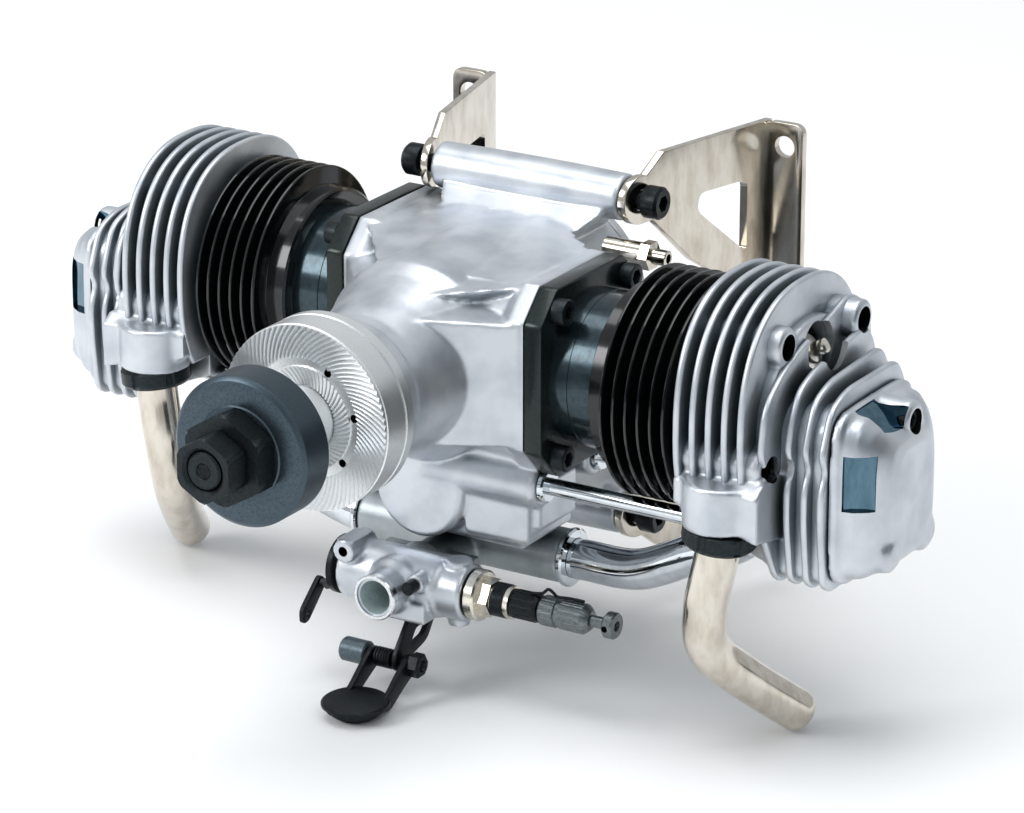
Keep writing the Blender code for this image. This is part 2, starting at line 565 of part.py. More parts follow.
def head_cutters(name, s):
    """Combustion space, valve guides, pushrod passages, rocker box, plug seat and ports of one head."""
    y = CYLINDER_Y[name]
    y0, y1, z0, z1 = ROCKER_BOX
    cutters = [rod("chamber", "X", (0, y, 0), *both_ends(s, HEAD_X - 5, CHAMBER_TOP_X), BORE_R - 0.3, sides=16),
               plate("rockers", "X", *both_ends(s, VALVE_END_X - GAP, HEAD_END_X + 5),
                     [(y + a, b) for a, b in ((y0, z0), (y1, z0), (y1, z1), (y0, z1))]),
               plate("valve_ends", "X", *both_ends(s, VALVE_END_X - VALVE_LIFT - 0.6, HEAD_END_X),
                     [(y + a, b) for a, b in ((y0, z1 - 15.5), (y1, z1 - 15.5), (y1, z1), (y0, z1))])]
    for sign in (-1, 1):
        cutters.append(rod("guide", "X", (0, y + sign * VALVE_Y, VALVE_Z), *both_ends(s, HEAD_X, HEAD_END_X),
                           VALVE_STEM_R + GAP, sides=8))
        cutters.append(rod("passage", "X", (0, y + sign * PUSHROD_Y, CAM_Z), *both_ends(s, HEAD_X - 2, HEAD_END_X),
                           TUBE_BORE, sides=8))
        cutters.append(rod("tube_seat", "X", (0, y + sign * PUSHROD_Y, CAM_Z), *both_ends(s, HEAD_X - 2, 68.2),
                           TUBE_R + GAP, sides=10))
    cutters.append(tilted("plug_seat", s, y, -18.5, 14, 3.3, 10))
    cutters.append(tilted("plug_clearance", s, y, -9.2, 14, 5.4, 14))
    cutters.append(rod("exhaust_port", "Z", (s * EXHAUST_X, y + EXHAUST_Y, 0), -25, -12, EXHAUST_R + GAP, sides=12))
    cutters.append(rod("intake_port", "Z", (s * INTAKE_PORT_X, y, 0), -32, -20, INTAKE_R + 0.8, sides=12))
    return cutters


def tilted(label, s, y, low, high, radius, sides, material="steel", profile=None):
    """A turned solid on the glow plug's slanting axis; distances count outwards from the plug's outer end."""
    profile = profile or [(low, 0), (low, radius), (high, radius), (high, 0)]
    solid = turned(label, "X", (0, 0, 0), [(s * a, r) for a, r in profile], material, sides)
    turn = Matrix.Rotation(-s * PLUG_TILT, 4, "Y")
    solid.data.transform(Matrix.Translation((s * PLUG_END[0] * MM, y * MM, PLUG_END[1] * MM)) @ turn)
    return solid


def make_glow_plug(name, s):
    """Glow plug: threaded shank, hexagon body drawn round, and the contact post."""
    profile = [(-17.2, 0), (-17.2, 2.9), (-8.9, 2.9), (-8.9, 4.4), (-4.6, 4.4), (-4.0, 3.6), (-4.0, 1.5),
               (-0.6, 1.5), (0, 1.0), (0, 0)]
    return tilted("glow_plug_" + name, s, CYLINDER_Y[name], 0, 0, 0, 18, "nickel_plate", profile)


def make_rocker_cover(name, s):
    """The hollow cap over the rockers: a tapering shell, open towards the head."""
    y = CYLINDER_Y[name]
    base = chamfered(16.8, 18.6, 5.0, (y, -12.4))
    waist = chamfered(15.4, 17.2, 5.0, (y, -12.4))
    end = chamfered(9.5, 12.5, 4.0, (y, -12.8))
    cover = loft("rocker_cover_" + name, "X",
                 [(s * x, outline) for x, outline in
                  ((HEAD_END_X + GAP, base), (HEAD_END_X + 2.0, base), (HEAD_END_X + 2.0 + 0.01, waist),
                   (102, waist), (COVER_X, end))][::s], "cast_aluminium")
    low, high = both_ends(s, HEAD_END_X - 5, 101)
    y0, y1, z0, z1 = ROCKER_BOX
    hollow = plate("hollow", "X", low, high, [(y + y0 + 0.5, z0 + 1), (y + y1 - 0.5, z0 + 1),
                                              (y + y1 - 0.5, z1 - 1), (y + y0 + 0.5, z1 - 1)])
    return cut(cover, hollow)


def make_valve_gear(name, s):
    """Tubes, pushrods with lifters, rockers and valves of one side; first the front pair, then the rear."""
    y = CYLINDER_Y[name]
    pivot_x, pivot_z = ROCKER_PIVOT
    for place, sign in (("front", -1), ("rear", 1)):
        label = name + "_" + place
        low, high = both_ends(s, 22, 67.9)
        ring_solid("pushrod_tube_" + label, "X", (0, y + sign * PUSHROD_Y, CAM_Z), low, high, TUBE_R, TUBE_BORE,
                   "chrome", 12)
        profile = [(LIFTER_X[0], 0), (LIFTER_X[0], LIFTER_R), (LIFTER_X[1], LIFTER_R),
                   (LIFTER_X[1], PUSHROD_R), (VALVE_END_X, PUSHROD_R), (VALVE_END_X, 0)]
        turned("pushrod_" + label, "X", (0, y + sign * PUSHROD_Y, CAM_Z), [(s * a, r) for a, r in profile],
               "steel", 12)
        head_x = CHAMBER_TOP_X - GAP
        profile = [(head_x - 1.3, 0), (head_x - 1.3, VALVE_HEAD_R), (head_x - 0.6, VALVE_HEAD_R),
                   (head_x, VALVE_HEAD_R - 1.6), (head_x, VALVE_STEM_R), (VALVE_END_X, VALVE_STEM_R),
                   (VALVE_END_X, 0)]
        turned("valve_" + label, "X", (0, y + sign * VALVE_Y, VALVE_Z), [(s * a, r) for a, r in profile],
               "steel", 14)
        outline = [(z, s * x) for x, z in rocker_outline(pivot_x, pivot_z)]
        inner, outer = sorted((y + sign * 6.0, y + sign * 12.0))
        rocker = plate("rocker_" + label, "Y", inner, outer, outline)
        cut(rocker, rod("eye", "Y", (s * pivot_x, 0, pivot_z), y - 20, y + 20, 1.8, sides=16))
        pivot_at(rocker, s * pivot_x, y, pivot_z)


def rocker_outline(pivot_x, pivot_z):
    """A rocker seen from the front: a round pad at each end and a round eye between them."""
    lower = circle_points((ROCKER_TIP_X, CAM_Z), ROCKER_TIP_R, 7, 150, 200)
    upper = circle_points((ROCKER_TIP_X, VALVE_Z), ROCKER_TIP_R, 7, 10, 200)
    outer = circle_points((pivot_x, pivot_z), 3.4, 7, -50, 100)
    inner = circle_points((pivot_x, pivot_z), 3.2, 5, 150, 60)
    return lower + outer + upper + inner


# ---- exhaust, intake and carburettor ------------------------------------------------------------

def make_exhaust(name, s):
    """Bent exhaust pipe and the ring nut that holds it up to the head."""
    y = CYLINDER_Y[name] + EXHAUST_Y
    route = [(EXHAUST_X, 0, -19.4), (EXHAUST_X - 0.6, -0.2, -26), (EXHAUST_X - 2.6, -0.6, -37),
             (EXHAUST_X - 2.8, 1.6, -46.5), (EXHAUST_X + 1.2, 9.5, -55.0), (EXHAUST_X + 7.3, 21.6, -65.4)]
    path = smooth_path([(s * x, y + dy, z) for x, dy, z in route], 6.5)
    pipe("exhaust_pipe_" + name, path, EXHAUST_R, EXHAUST_BORE)
    ring_solid("exhaust_nut_" + name, "Z", (s * EXHAUST_X, y, 0), NUT_Z[0], NUT_Z[1], NUT_R, EXHAUST_R + 2 * GAP,
               "black_oxide", 18)


def make_intake():
    """The cast cross tube under the crankcase and the two bent pipes to the heads."""
    manifold = rod("intake_manifold", "X", (0, MANIFOLD_Y, MANIFOLD_Z), -MANIFOLD_X, MANIFOLD_X, MANIFOLD_R,
                   "cast_aluminium", 16)
    neck_front = CARB_Y + 7.4
    join(manifold, rod("neck", "Y", (0, 0, CARB_Z), neck_front, MANIFOLD_Y, 5.2, sides=16),
         box("pad", (-8, MANIFOLD_Y - 5, -46), (8, MANIFOLD_Y + 5, -39.6)))
    cut(manifold, rod("bore", "Y", (0, 0, CARB_Z), neck_front - 2, MANIFOLD_Y, 3.6, sides=12),
        rod("way", "X", (0, MANIFOLD_Y, MANIFOLD_Z), -MANIFOLD_X - 2, MANIFOLD_X + 2, INTAKE_R + 0.6, sides=12))
    for name, s in SIDES.items():
        y = CYLINDER_Y[name]
        route = [(17.0, MANIFOLD_Y, MANIFOLD_Z), (23.0, MANIFOLD_Y, MANIFOLD_Z), (29.0, MANIFOLD_Y, MANIFOLD_Z),
                 (43.0, 0.65 * MANIFOLD_Y + 0.35 * y, MANIFOLD_Z + 1.5), (58.0, 0.2 * MANIFOLD_Y + 0.8 * y, -36.0),
                 (66.0, y, -32.5), (INTAKE_PORT_X - 0.9, y, -28.5), (INTAKE_PORT_X, y, -21.5)]
        pipe("intake_pipe_" + name, smooth_path([(s * x, dy, z) for x, dy, z in route], 6.5), INTAKE_R,
             INTAKE_R - 0.8, "chrome")


def make_carburettor():
    """Carburettor body, rotating throttle barrel with its lever, fuel needle and choke."""
    body = rod("carburettor_body", "X", (0, CARB_Y, CARB_Z), -14.0, 16.0, 6.6, "cast_aluminium", 16)
    join(body, turned("mouth", "Y", (0, 0, CARB_Z),
                      [(MOUTH_Y, 0), (MOUTH_Y, MOUTH_R), (-97, MOUTH_R), (-95, 6.0), (-84, 6.0),
                       (-83.0, 5.2), (-83.0, 0)], sides=14),
         box("lug", (-13.4, -97.2, -45.5), (-9.1, -92.4, -36)),
         box("hanger", (3.4, -101.6, -61.0), (5.4, -88.0, -50)))
    cut(body, rod("throat", "Y", (0, 0, CARB_Z), MOUTH_Y - 2, -80, MOUTH_BORE, sides=12),
        rod("barrel_bore", "X", (0, CARB_Y, CARB_Z), -20, 12, THROTTLE_R + GAP, sides=14),
        rod("spray_bore", "X", (0, CARB_Y, CARB_Z), 10, 20, 2.0, sides=10))
    barrel = turned("throttle_barrel", "X", (0, CARB_Y, CARB_Z),
                    [(-17.5, 0), (-17.5, 1.6), (-16.4, 1.6), (-16.4, 5.7), (-14.4, 5.7), (-14.4, THROTTLE_R),
                     (11.0, THROTTLE_R), (11.0, 0)], "black_oxide", 16)
    arm = hull("arm", [(x, CARB_Y + a, CARB_Z + b) for x in (-16.4, -15.2)
                       for a, b in ((-2, 0), (2.5, -1), (-7.4, -13.6), (-5.0, -14.6))])
    join(barrel, arm)
    cut(barrel, rod("way", "Y", (0, 0, CARB_Z), CARB_Y - 10, CARB_Y + 10, 3.2, sides=12),
        rod("arm_hole", "X", (0, CARB_Y - 5.6, CARB_Z - 12.6), -20, -12, 0.8, sides=8))
    pivot_at(barrel, -14.4, CARB_Y, CARB_Z)
    turned("needle_holder", "X", (0, CARB_Y, CARB_Z),
           [(NEEDLE_X[0], 1.3), (NEEDLE_X[0], 5.4), (19.0, 5.4), (19.0, 3.4), (25.0, 3.4), (25.0, 2.8),
            (32.5, 2.8), (32.5, 1.3)], "brass", 14)
    needle = turned("needle_valve", "X", (0, CARB_Y, CARB_Z),
                    [(12.0, 0), (12.0, 0.5), (33.0, 1.0), (33.0, 3.2), (43.5, 3.2), (44.5, 2.4), (44.5, 1.2),
                     (47.8, 1.2), (47.8, 2.8), (NEEDLE_X[1], 2.8), (NEEDLE_X[1], 0)], "steel", 14)
    pivot_at(needle, 33.0, CARB_Y, CARB_Z)
    make_choke()


def make_choke():
    """The choke flap: an arm on a cross pin, with a round pad that swings up over the mouth."""
    y, z = CHOKE_PIVOT
    disc_y, disc_z = CHOKE_DISC
    pad = turned("choke_flap", "Z", (0, disc_y, 0),
                 [(disc_z - 1.2, 0), (disc_z - 1.2, 4.6), (disc_z, CHOKE_DISC_R), (disc_z + 0.5, CHOKE_DISC_R),
                  (disc_z + 0.5, 0)], "black_oxide", 16)
    arm = plate("arm", "X", -1.4, 2.8, [(y + a, z + b) for a, b in
                                        ((1.8, 1.0), (1.2, -1.8), (-9.0, -6.6), (-14.6, -6.8), (-14.6, -5.2),
                                         (-9.3, -4.6), (-1.0, 1.6))])
    pin = rod("pin", "X", (0, y, z), -10.0, 3.1, 1.5, sides=10)
    connector = rod("connector", "X", (0, y, z), -10.0, -4.2, 2.6, sides=14)
    join(pad, arm, pin, connector)
    pivot_at(pad, 3.1, y, z)


# ---- mounting -----------------------------------------------------------------------------------

def bracket_x(y):
    """Inner face of a bracket's side plate, which splays outwards towards the firewall."""
    return EYE_X + (BRACKET_X - EYE_X) * (y - SLEEVE_Y) / (-SLEEVE_Y)


def make_bracket(name, s):
    """Pressed steel bracket: a splayed side plate shaped like a K and a flange along the firewall."""
    middle = (UPPER_Z + LOWER_Z) / 2

    def mirrored(points):
        return [(y, 2 * middle - z) for y, z in points]

    upper = [(-0.2, BRACKET_TOP), (-33.2, BRACKET_TOP)] + circle_points((SLEEVE_Y, UPPER_Z), 5.3, 9, 75, 205)
    upper += [(-36.2, 21.0), (-24.3, 9.4), (-BRACKET_SPINE, -1.8)]
    side = plate("side", "X", *both_ends(s, 15, 50), upper + mirrored(upper)[::-1], "nickel_plate")
    window = [(-BRACKET_SPINE, 7.0), (-BRACKET_SPINE, 23.4), (-22.2, 23.6), (-22.9, 19.8)]
    slab = hull("slab", [(s * (bracket_x(y) + depth), y, z) for y in (-60, -0.2) for z in (-70, 70)
                         for depth in (0, BRACKET_THICK)])
    cut(side, *[plate("window", "X", *both_ends(s, 10, 60), corners) for corners in (window, mirrored(window))])
    combine(side, [slab], "INTERSECT")
    low, high = BRACKET_X - 0.1, BRACKET_X + BRACKET_WIDTH
    outline = [(low, BRACKET_BOTTOM), (high - 3.2, BRACKET_BOTTOM), (high, BRACKET_BOTTOM + 3.2),
               (high, BRACKET_TOP - 3.2), (high - 3.2, BRACKET_TOP), (low, BRACKET_TOP)]
    flange = plate("mount_bracket_" + name, "Y", -BRACKET_THICK, 0, [(z, s * x) for x, z in outline],
                   "nickel_plate")
    join(flange, side)
    holes = [rod("hole", "Y", (s * HOLE_X, 0, z), -5, 5, HOLE_R, sides=14) for z in HOLE_Z]
    holes += [rod("eye", "X", (0, SLEEVE_Y, z), *both_ends(s, 20, 40), 2.3, sides=12)
              for z in (UPPER_Z, LOWER_Z)]
    cut(flange, *holes)


def make_mount_screw(name, s, level, z):
    """Socket-head cap screw that clamps a bracket to the end of a mount sleeve."""
    start = bracket_x(SLEEVE_Y + MOUNT_SCREW_R) + BRACKET_THICK + GAP
    profile = [(14.0, 0), (14.0, 2.0), (start, 2.0), (start, MOUNT_SCREW_R), (start + 4.0, MOUNT_SCREW_R),
               (start + 4.0, 1.8), (start + 2.0, 1.8), (start + 2.0, 0)]
    turned("mount_screw_" + level + "_" + name, "X", (0, SLEEVE_Y, z), [(s * a, r) for a, r in profile],
           "black_oxide", 14)


def build():
    """Clear the scene and make every piece."""
    for old in list(bpy.data.objects):
        bpy.data.objects.remove(old)
    make_crankcase()
    make_rear_cover()
    make_crank()
    front_web_y = CYLINDER_Y["right"] - ROD_WIDTH / 2 - GAP - WEB_THICK
    ring_solid("front_bearing", "Y", (0, 0, 0), front_web_y - 8.0, front_web_y - 1.0, 11.0, JOURNAL_R + GAP)
    ring_solid("rear_bearing", "Y", (0, 0, 0), *REAR_BEARING_Y, 9.2, REAR_JOURNAL_R + GAP)
    make_camshaft()
    for name, s in SIDES.items():
        make_reciprocating(name, s)
        make_cylinder(name, s)
        make_head(name, s)
        make_glow_plug(name, s)
        make_rocker_cover(name, s)
        make_valve_gear(name, s)
        make_exhaust(name, s)
        make_bracket(name, s)
        make_mount_screw(name, s, "upper", UPPER_Z)
    make_intake()
    make_carburettor()


build()
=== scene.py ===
"""Flat-twin four-stroke model glow engine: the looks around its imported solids.

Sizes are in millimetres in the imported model's frame: the crankshaft lies along Y, the propeller is at -Y,
the right cylinder at +X, and the firewall is the plane y = 0.
"""
import json
import math

import bmesh
import bpy
import numpy as np
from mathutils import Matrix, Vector


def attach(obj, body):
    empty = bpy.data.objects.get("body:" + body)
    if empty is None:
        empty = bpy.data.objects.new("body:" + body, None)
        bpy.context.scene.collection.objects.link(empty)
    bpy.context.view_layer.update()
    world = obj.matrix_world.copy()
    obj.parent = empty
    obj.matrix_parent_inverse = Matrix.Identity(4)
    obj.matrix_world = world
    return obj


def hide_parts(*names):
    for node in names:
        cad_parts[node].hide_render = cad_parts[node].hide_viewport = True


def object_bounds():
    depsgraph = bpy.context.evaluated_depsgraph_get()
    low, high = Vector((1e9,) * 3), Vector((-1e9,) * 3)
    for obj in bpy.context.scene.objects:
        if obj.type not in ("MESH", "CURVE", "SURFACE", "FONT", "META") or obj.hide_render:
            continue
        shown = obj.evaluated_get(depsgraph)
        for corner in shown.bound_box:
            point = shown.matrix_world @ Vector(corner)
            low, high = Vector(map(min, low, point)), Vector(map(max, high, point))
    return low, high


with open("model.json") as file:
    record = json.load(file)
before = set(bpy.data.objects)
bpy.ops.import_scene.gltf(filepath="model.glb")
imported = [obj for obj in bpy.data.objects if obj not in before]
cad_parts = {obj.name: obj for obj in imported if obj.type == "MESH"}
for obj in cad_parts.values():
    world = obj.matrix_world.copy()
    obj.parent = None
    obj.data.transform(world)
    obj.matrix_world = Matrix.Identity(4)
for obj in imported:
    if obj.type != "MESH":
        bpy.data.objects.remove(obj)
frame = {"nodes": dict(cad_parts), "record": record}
cad_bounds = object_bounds()
SIDES = {"right": 1, "left": -1}
CYLINDER_Y = {"right": -70.5, "left": -51.0}


# ---- Studio -------------------------------------------------------------------------------------
# A pale sweep under a large overhead softbox, a window-like key from the left and a low fill from the
# right. Two dark cards out of sight give the bright metal its dark bands.

def linear(code):
    """A hex sRGB colour as linear red, green, blue and full alpha."""
    parts = np.array([int(code[i:i + 2], 16) for i in (1, 3, 5)]) / 255
    return (*np.where(parts <= 0.04045, parts / 12.92, ((parts + 0.055) / 1.055) ** 2.4), 1.0)


def add(material, kind, settings=None, values=None, links=None):
    """One shader node with its settings, the values of its free sockets and the links into the others."""
    made = material.node_tree.nodes.new("ShaderNode" + kind)
    for key, value in (settings or {}).items():
        setattr(made, key, value)
    for key, value in (values or {}).items():
        made.inputs[key].default_value = value
    for key, source in (links or {}).items():
        material.node_tree.links.new(source, made.inputs[key])
    return made


AZIMUTH, ELEVATION = math.radians(31.487), math.radians(20.011)
CAMERA_PLACE = (0.5022, -0.8684, 0.3282)
back = Vector((math.sin(AZIMUTH) * math.cos(ELEVATION), -math.cos(AZIMUTH) * math.cos(ELEVATION),
               math.sin(ELEVATION)))
lens = bpy.data.cameras.new("camera")
lens.sensor_width = 36.0
lens.lens = 168.75
lens.clip_end = 20.0
camera = bpy.data.objects.new("camera", lens)
camera.location = CAMERA_PLACE
camera.rotation_euler = back.to_track_quat("Z", "Y").to_euler()
bpy.context.scene.collection.objects.link(camera)
bpy.context.scene.camera = camera
bpy.context.scene.view_settings.view_transform = "Standard"

FLOOR_DROP = 0.0006
floor_z = cad_bounds[0][2] - FLOOR_DROP
floor_mesh = bpy.data.meshes.new("floor")
floor_mesh.from_pydata([(x, y, floor_z) for x, y in ((-6, -6), (6, -6), (6, 6), (-6, 6))], [], [(0, 1, 2, 3)])
floor = bpy.data.objects.new("floor", floor_mesh)
paper = bpy.data.materials.new("white_paper_sweep")
paper.use_nodes = True
paper.node_tree.nodes["Principled BSDF"].inputs["Base Color"].default_value = linear("#fbfbfb")
paper.node_tree.nodes["Principled BSDF"].inputs["Roughness"].default_value = 0.9
floor_mesh.materials.append(paper)
bpy.context.scene.collection.objects.link(floor)

world = bpy.data.worlds.new("studio")
world.use_nodes = True
world.node_tree.nodes["Background"].inputs["Color"].default_value = linear("#f4f8fb")
world.node_tree.nodes["Background"].inputs["Strength"].default_value = 0.62
bpy.context.scene.world = world


def softbox(name, place, size, power, colour="#ffffff"):
    """A square area light that faces the engine."""
    light = bpy.data.lights.new(name, "AREA")
    light.size = size
    light.energy = power
    light.color = linear(colour)[:3]
    lamp = bpy.data.objects.new(name, light)
    lamp.location = place
    lamp.rotation_euler = (Vector(place) - Vector((0, -0.07, 0))).to_track_quat("Z", "Y").to_euler()
    bpy.context.scene.collection.objects.link(lamp)


def dark_card(name, corners):
    """A black card, seen only in reflections, that keeps white light off one side."""
    mesh = bpy.data.meshes.new(name)
    mesh.from_pydata(corners, [], [(0, 1, 2, 3)])
    velvet = bpy.data.materials.new(name)
    velvet.use_nodes = True
    velvet.node_tree.nodes["Principled BSDF"].inputs["Base Color"].default_value = linear("#1d2a2e")
    velvet.node_tree.nodes["Principled BSDF"].inputs["Roughness"].default_value = 1.0
    mesh.materials.append(velvet)
    card = bpy.data.objects.new(name, mesh)
    card.visible_camera = False
    bpy.context.scene.collection.objects.link(card)


softbox("overhead", (-0.1, -0.15, 1.1), 0.9, 8.0)
softbox("key_left", (-0.75, -0.95, 0.65), 0.5, 6.5)
softbox("fill_right", (0.75, -0.6, 0.95), 0.5, 1.6, "#e4f0f8")
dark_card("card_right", [(0.62, -0.55, -0.06), (0.62, 0.25, -0.06), (0.62, 0.25, 0.42), (0.62, -0.55, 0.42)])
dark_card("card_front", [(0.10, -0.95, -0.06), (0.22, -0.93, -0.06), (0.22, -0.93, 0.6), (0.10, -0.95, 0.6)])


# ---- Crankcase ----------------------------------------------------------------------------------
# One gravity casting in aluminium, bead-blasted after machining: crank drum and nose, two octagonal
# cylinder seats, the camshaft tunnel below, four tappet bosses, and two sleeves for the bracket screws.

def across(axis, along, first, second):
    """Points from a distance along an axis and two distances across it, in right-handed order."""
    order = {"X": (along, first, second), "Y": (second, along, first), "Z": (first, second, along)}
    return np.stack(np.broadcast_arrays(*order[axis]), axis=-1).astype(float)


def quads(rows, columns, wrap):
    """The quads of a grid of points whose rows close on themselves, and whose columns do if wrap is true."""
    row, column = np.meshgrid(np.arange(rows if wrap else rows - 1), np.arange(columns), indexing="ij")
    below, beside = (row + 1) % rows, (column + 1) % columns
    corners = (row * columns + column, row * columns + beside, below * columns + beside,
               below * columns + column)
    return np.stack(corners, -1).reshape(-1, 4).tolist()


def lathe(rings, axis="X", centre=(0, 0, 0), sides=96):
    """A profile carried round an axis. Each ring is (distance along, radius), and the point at angle t lies
    at radius times (cos t, sin t) across the axis. A radius may differ by angle, given as an array."""
    t = 2 * np.pi * np.arange(sides) / sides
    along = np.array([ring[0] for ring in rings], float)[:, None]
    radius = np.array([np.broadcast_to(ring[1], sides) for ring in rings], float)
    closed = radius[0].max() > 0 or radius[-1].max() > 0
    points = across(axis, along, radius * np.cos(t), radius * np.sin(t)).reshape(-1, 3)
    return points + np.array(centre, float), quads(len(rings), sides, closed)


def rounded(corners, radius, steps=4):
    """A closed outline with each corner replaced by a curve: a quadratic Bezier that starts and ends at
    the given distance from the corner, or less on a short side."""
    corners = np.array(corners, float)
    before, after = np.roll(corners, 1, 0) - corners, np.roll(corners, -1, 0) - corners
    painted_shade_occlusion = np.minimum(radius, 0.45 * np.minimum(np.linalg.norm(before, axis=1),
                                                 np.linalg.norm(after, axis=1)))
    start = corners + before / np.linalg.norm(before, axis=1)[:, None] * painted_shade_occlusion[:, None]
    end = corners + after / np.linalg.norm(after, axis=1)[:, None] * painted_shade_occlusion[:, None]
    t = (np.arange(steps + 1) / steps)[None, :, None]
    curve = (1 - t) ** 2 * start[:, None] + 2 * t * (1 - t) * corners[:, None] + t ** 2 * end[:, None]
    return curve.reshape(-1, 2)


def unit(rows):
    """Each row divided by its own length."""
    return rows / np.maximum(np.linalg.norm(rows, axis=1), 1e-9)[:, None]


def slab(outline, low, high, axis="X", rim=0.3, steps=3):
    """A flat plate with a rounded rim: the outline is moved inwards along its own normals by rim times
    (1 - cos a) while the face is reached by rim times (1 - sin a), and both faces are one polygon."""
    outline = np.array(outline, float)
    ahead, behind = np.roll(outline, -1, 0) - outline, outline - np.roll(outline, 1, 0)
    tangent = unit(unit(ahead) + unit(behind))
    following = np.roll(outline, -1, 0)
    area = 0.5 * np.sum(outline[:, 0] * following[:, 1] - outline[:, 1] * following[:, 0])
    inward = np.stack([-tangent[:, 1], tangent[:, 0]], 1) * np.sign(area)
    a = np.linspace(0, np.pi / 2, steps + 1)
    shrink = rim * np.concatenate([1 - np.sin(a), (1 - np.sin(a))[::-1]])
    along = np.concatenate([low + rim * (1 - np.cos(a)), high - rim * (1 - np.cos(a))[::-1]])
    rings = outline[None] + shrink[:, None, None] * inward[None]
    points = across(axis, along[:, None], rings[:, :, 0], rings[:, :, 1]).reshape(-1, 3)
    count, total = len(outline), len(outline) * len(along)
    return points, quads(len(along), count, False) + [list(range(count)), list(range(total - count, total))]


def loft(sections, axis="X"):
    """A solid through outlines of equal length, each (distance along the axis, outline), with flat ends."""
    count, total = len(sections[0][1]), len(sections) * len(sections[0][1])
    points = np.concatenate([across(axis, along, np.array(outline)[:, 0], np.array(outline)[:, 1])
                             for along, outline in sections])
    return points, quads(len(sections), count, False) + [list(range(count)),
                                                         list(range(total - count, total))]


def hull(points):
    """The convex solid round a few points."""
    work = bmesh.new()
    for point in points:
        work.verts.new(point)
    made = bmesh.ops.convex_hull(work, input=work.verts)
    spare = {v for key in ("geom_interior", "geom_unused")
             for v in made[key] if isinstance(v, bmesh.types.BMVert)}
    bmesh.ops.delete(work, geom=list(spare), context="VERTS")
    work.verts.index_update()
    shape = np.array([v.co for v in work.verts]), [[v.index for v in f.verts] for f in work.faces]
    work.free()
    return shape


def block(low, high):
    """A rectangular solid between two corners."""
    (x0, y0, z0), (x1, y1, z1) = low, high
    return loft([(z0, [(x0, y0), (x1, y0), (x1, y1), (x0, y1)]),
                 (z1, [(x0, y0), (x1, y0), (x1, y1), (x0, y1)])], "Z")


def on_side(shape, side, y=0.0):
    """A right-hand shape moved along Y, and mirrored in X for the left side."""
    points = np.array(shape[0], float) * (side, 1, 1) + (0, y, 0)
    return points, shape[1]


def solid(name, shapes, *materials, angle=35):
    """One mesh object, in metres, from shapes in millimetres: doubles merged, faces turned outwards, and
    edges sharper than the angle kept crisp."""
    points, faces, base = [], [], 0
    for corners, polygons in shapes:
        points.append(np.asarray(corners, float))
        faces += [[i + base for i in polygon] for polygon in polygons]
        base += len(corners)
    mesh = bpy.data.meshes.new(name)
    mesh.from_pydata(np.concatenate(points) / 1000, [], faces)
    work = bmesh.new()
    work.from_mesh(mesh)
    bmesh.ops.remove_doubles(work, verts=work.verts, dist=1e-6)
    bmesh.ops.dissolve_degenerate(work, edges=work.edges, dist=1e-7)
    bmesh.ops.recalc_face_normals(work, faces=work.faces)
    work.to_mesh(mesh)
    work.free()
    for material in materials:
        mesh.materials.append(material)
    mesh.shade_smooth()
    mesh.set_sharp_from_angle(angle=math.radians(angle))
    made = bpy.data.objects.new(name, mesh)
    bpy.context.scene.collection.objects.link(made)
    return made


def settle(made, angle=35):
    """Work an object's modifiers into its mesh."""
    bpy.context.view_layer.update()
    mesh = bpy.data.meshes.new_from_object(made.evaluated_get(bpy.context.evaluated_depsgraph_get()))
    made.modifiers.clear()
    made.data = mesh
    mesh.shade_smooth()
    mesh.set_sharp_from_angle(angle=math.radians(angle))
    return made


def fused(name, shapes, material, voxel=0.6, rounds=5):
    """Overlapping solids turned into one skin with casting fillets: a voxel remesh, then a smooth in which
    each vertex moves halfway to the middle of its neighbours, some rounds over."""
    made = solid(name, shapes, material)
    remesh = made.modifiers.new("skin", "REMESH")
    remesh.mode = "VOXEL"
    remesh.voxel_size = voxel / 1000
    relax = made.modifiers.new("fillets", "SMOOTH")
    relax.factor = 0.5
    relax.iterations = rounds
    settle(made, 60)
    if not made.data.materials:
        made.data.materials.append(material)
    return made


def carve(made, shapes, material, angle=35):
    """Cut shapes out of an object; the cut faces take the given material."""
    for shape in shapes:
        tool = solid("cutter", [shape], material)
        cut = made.modifiers.new("cut", "BOOLEAN")
        cut.operation = "DIFFERENCE"
        cut.solver = "EXACT"
        cut.material_mode = "TRANSFER"
        cut.object = tool
        settle(made, angle)
        bpy.data.objects.remove(tool)
    return made


def fit(made, body, slot, *nodes):
    """Hang a finished piece on its body and hide the solids it stands for; the slot argument is not used."""
    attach(made, body)
    if nodes:
        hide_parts(*nodes)
    return made


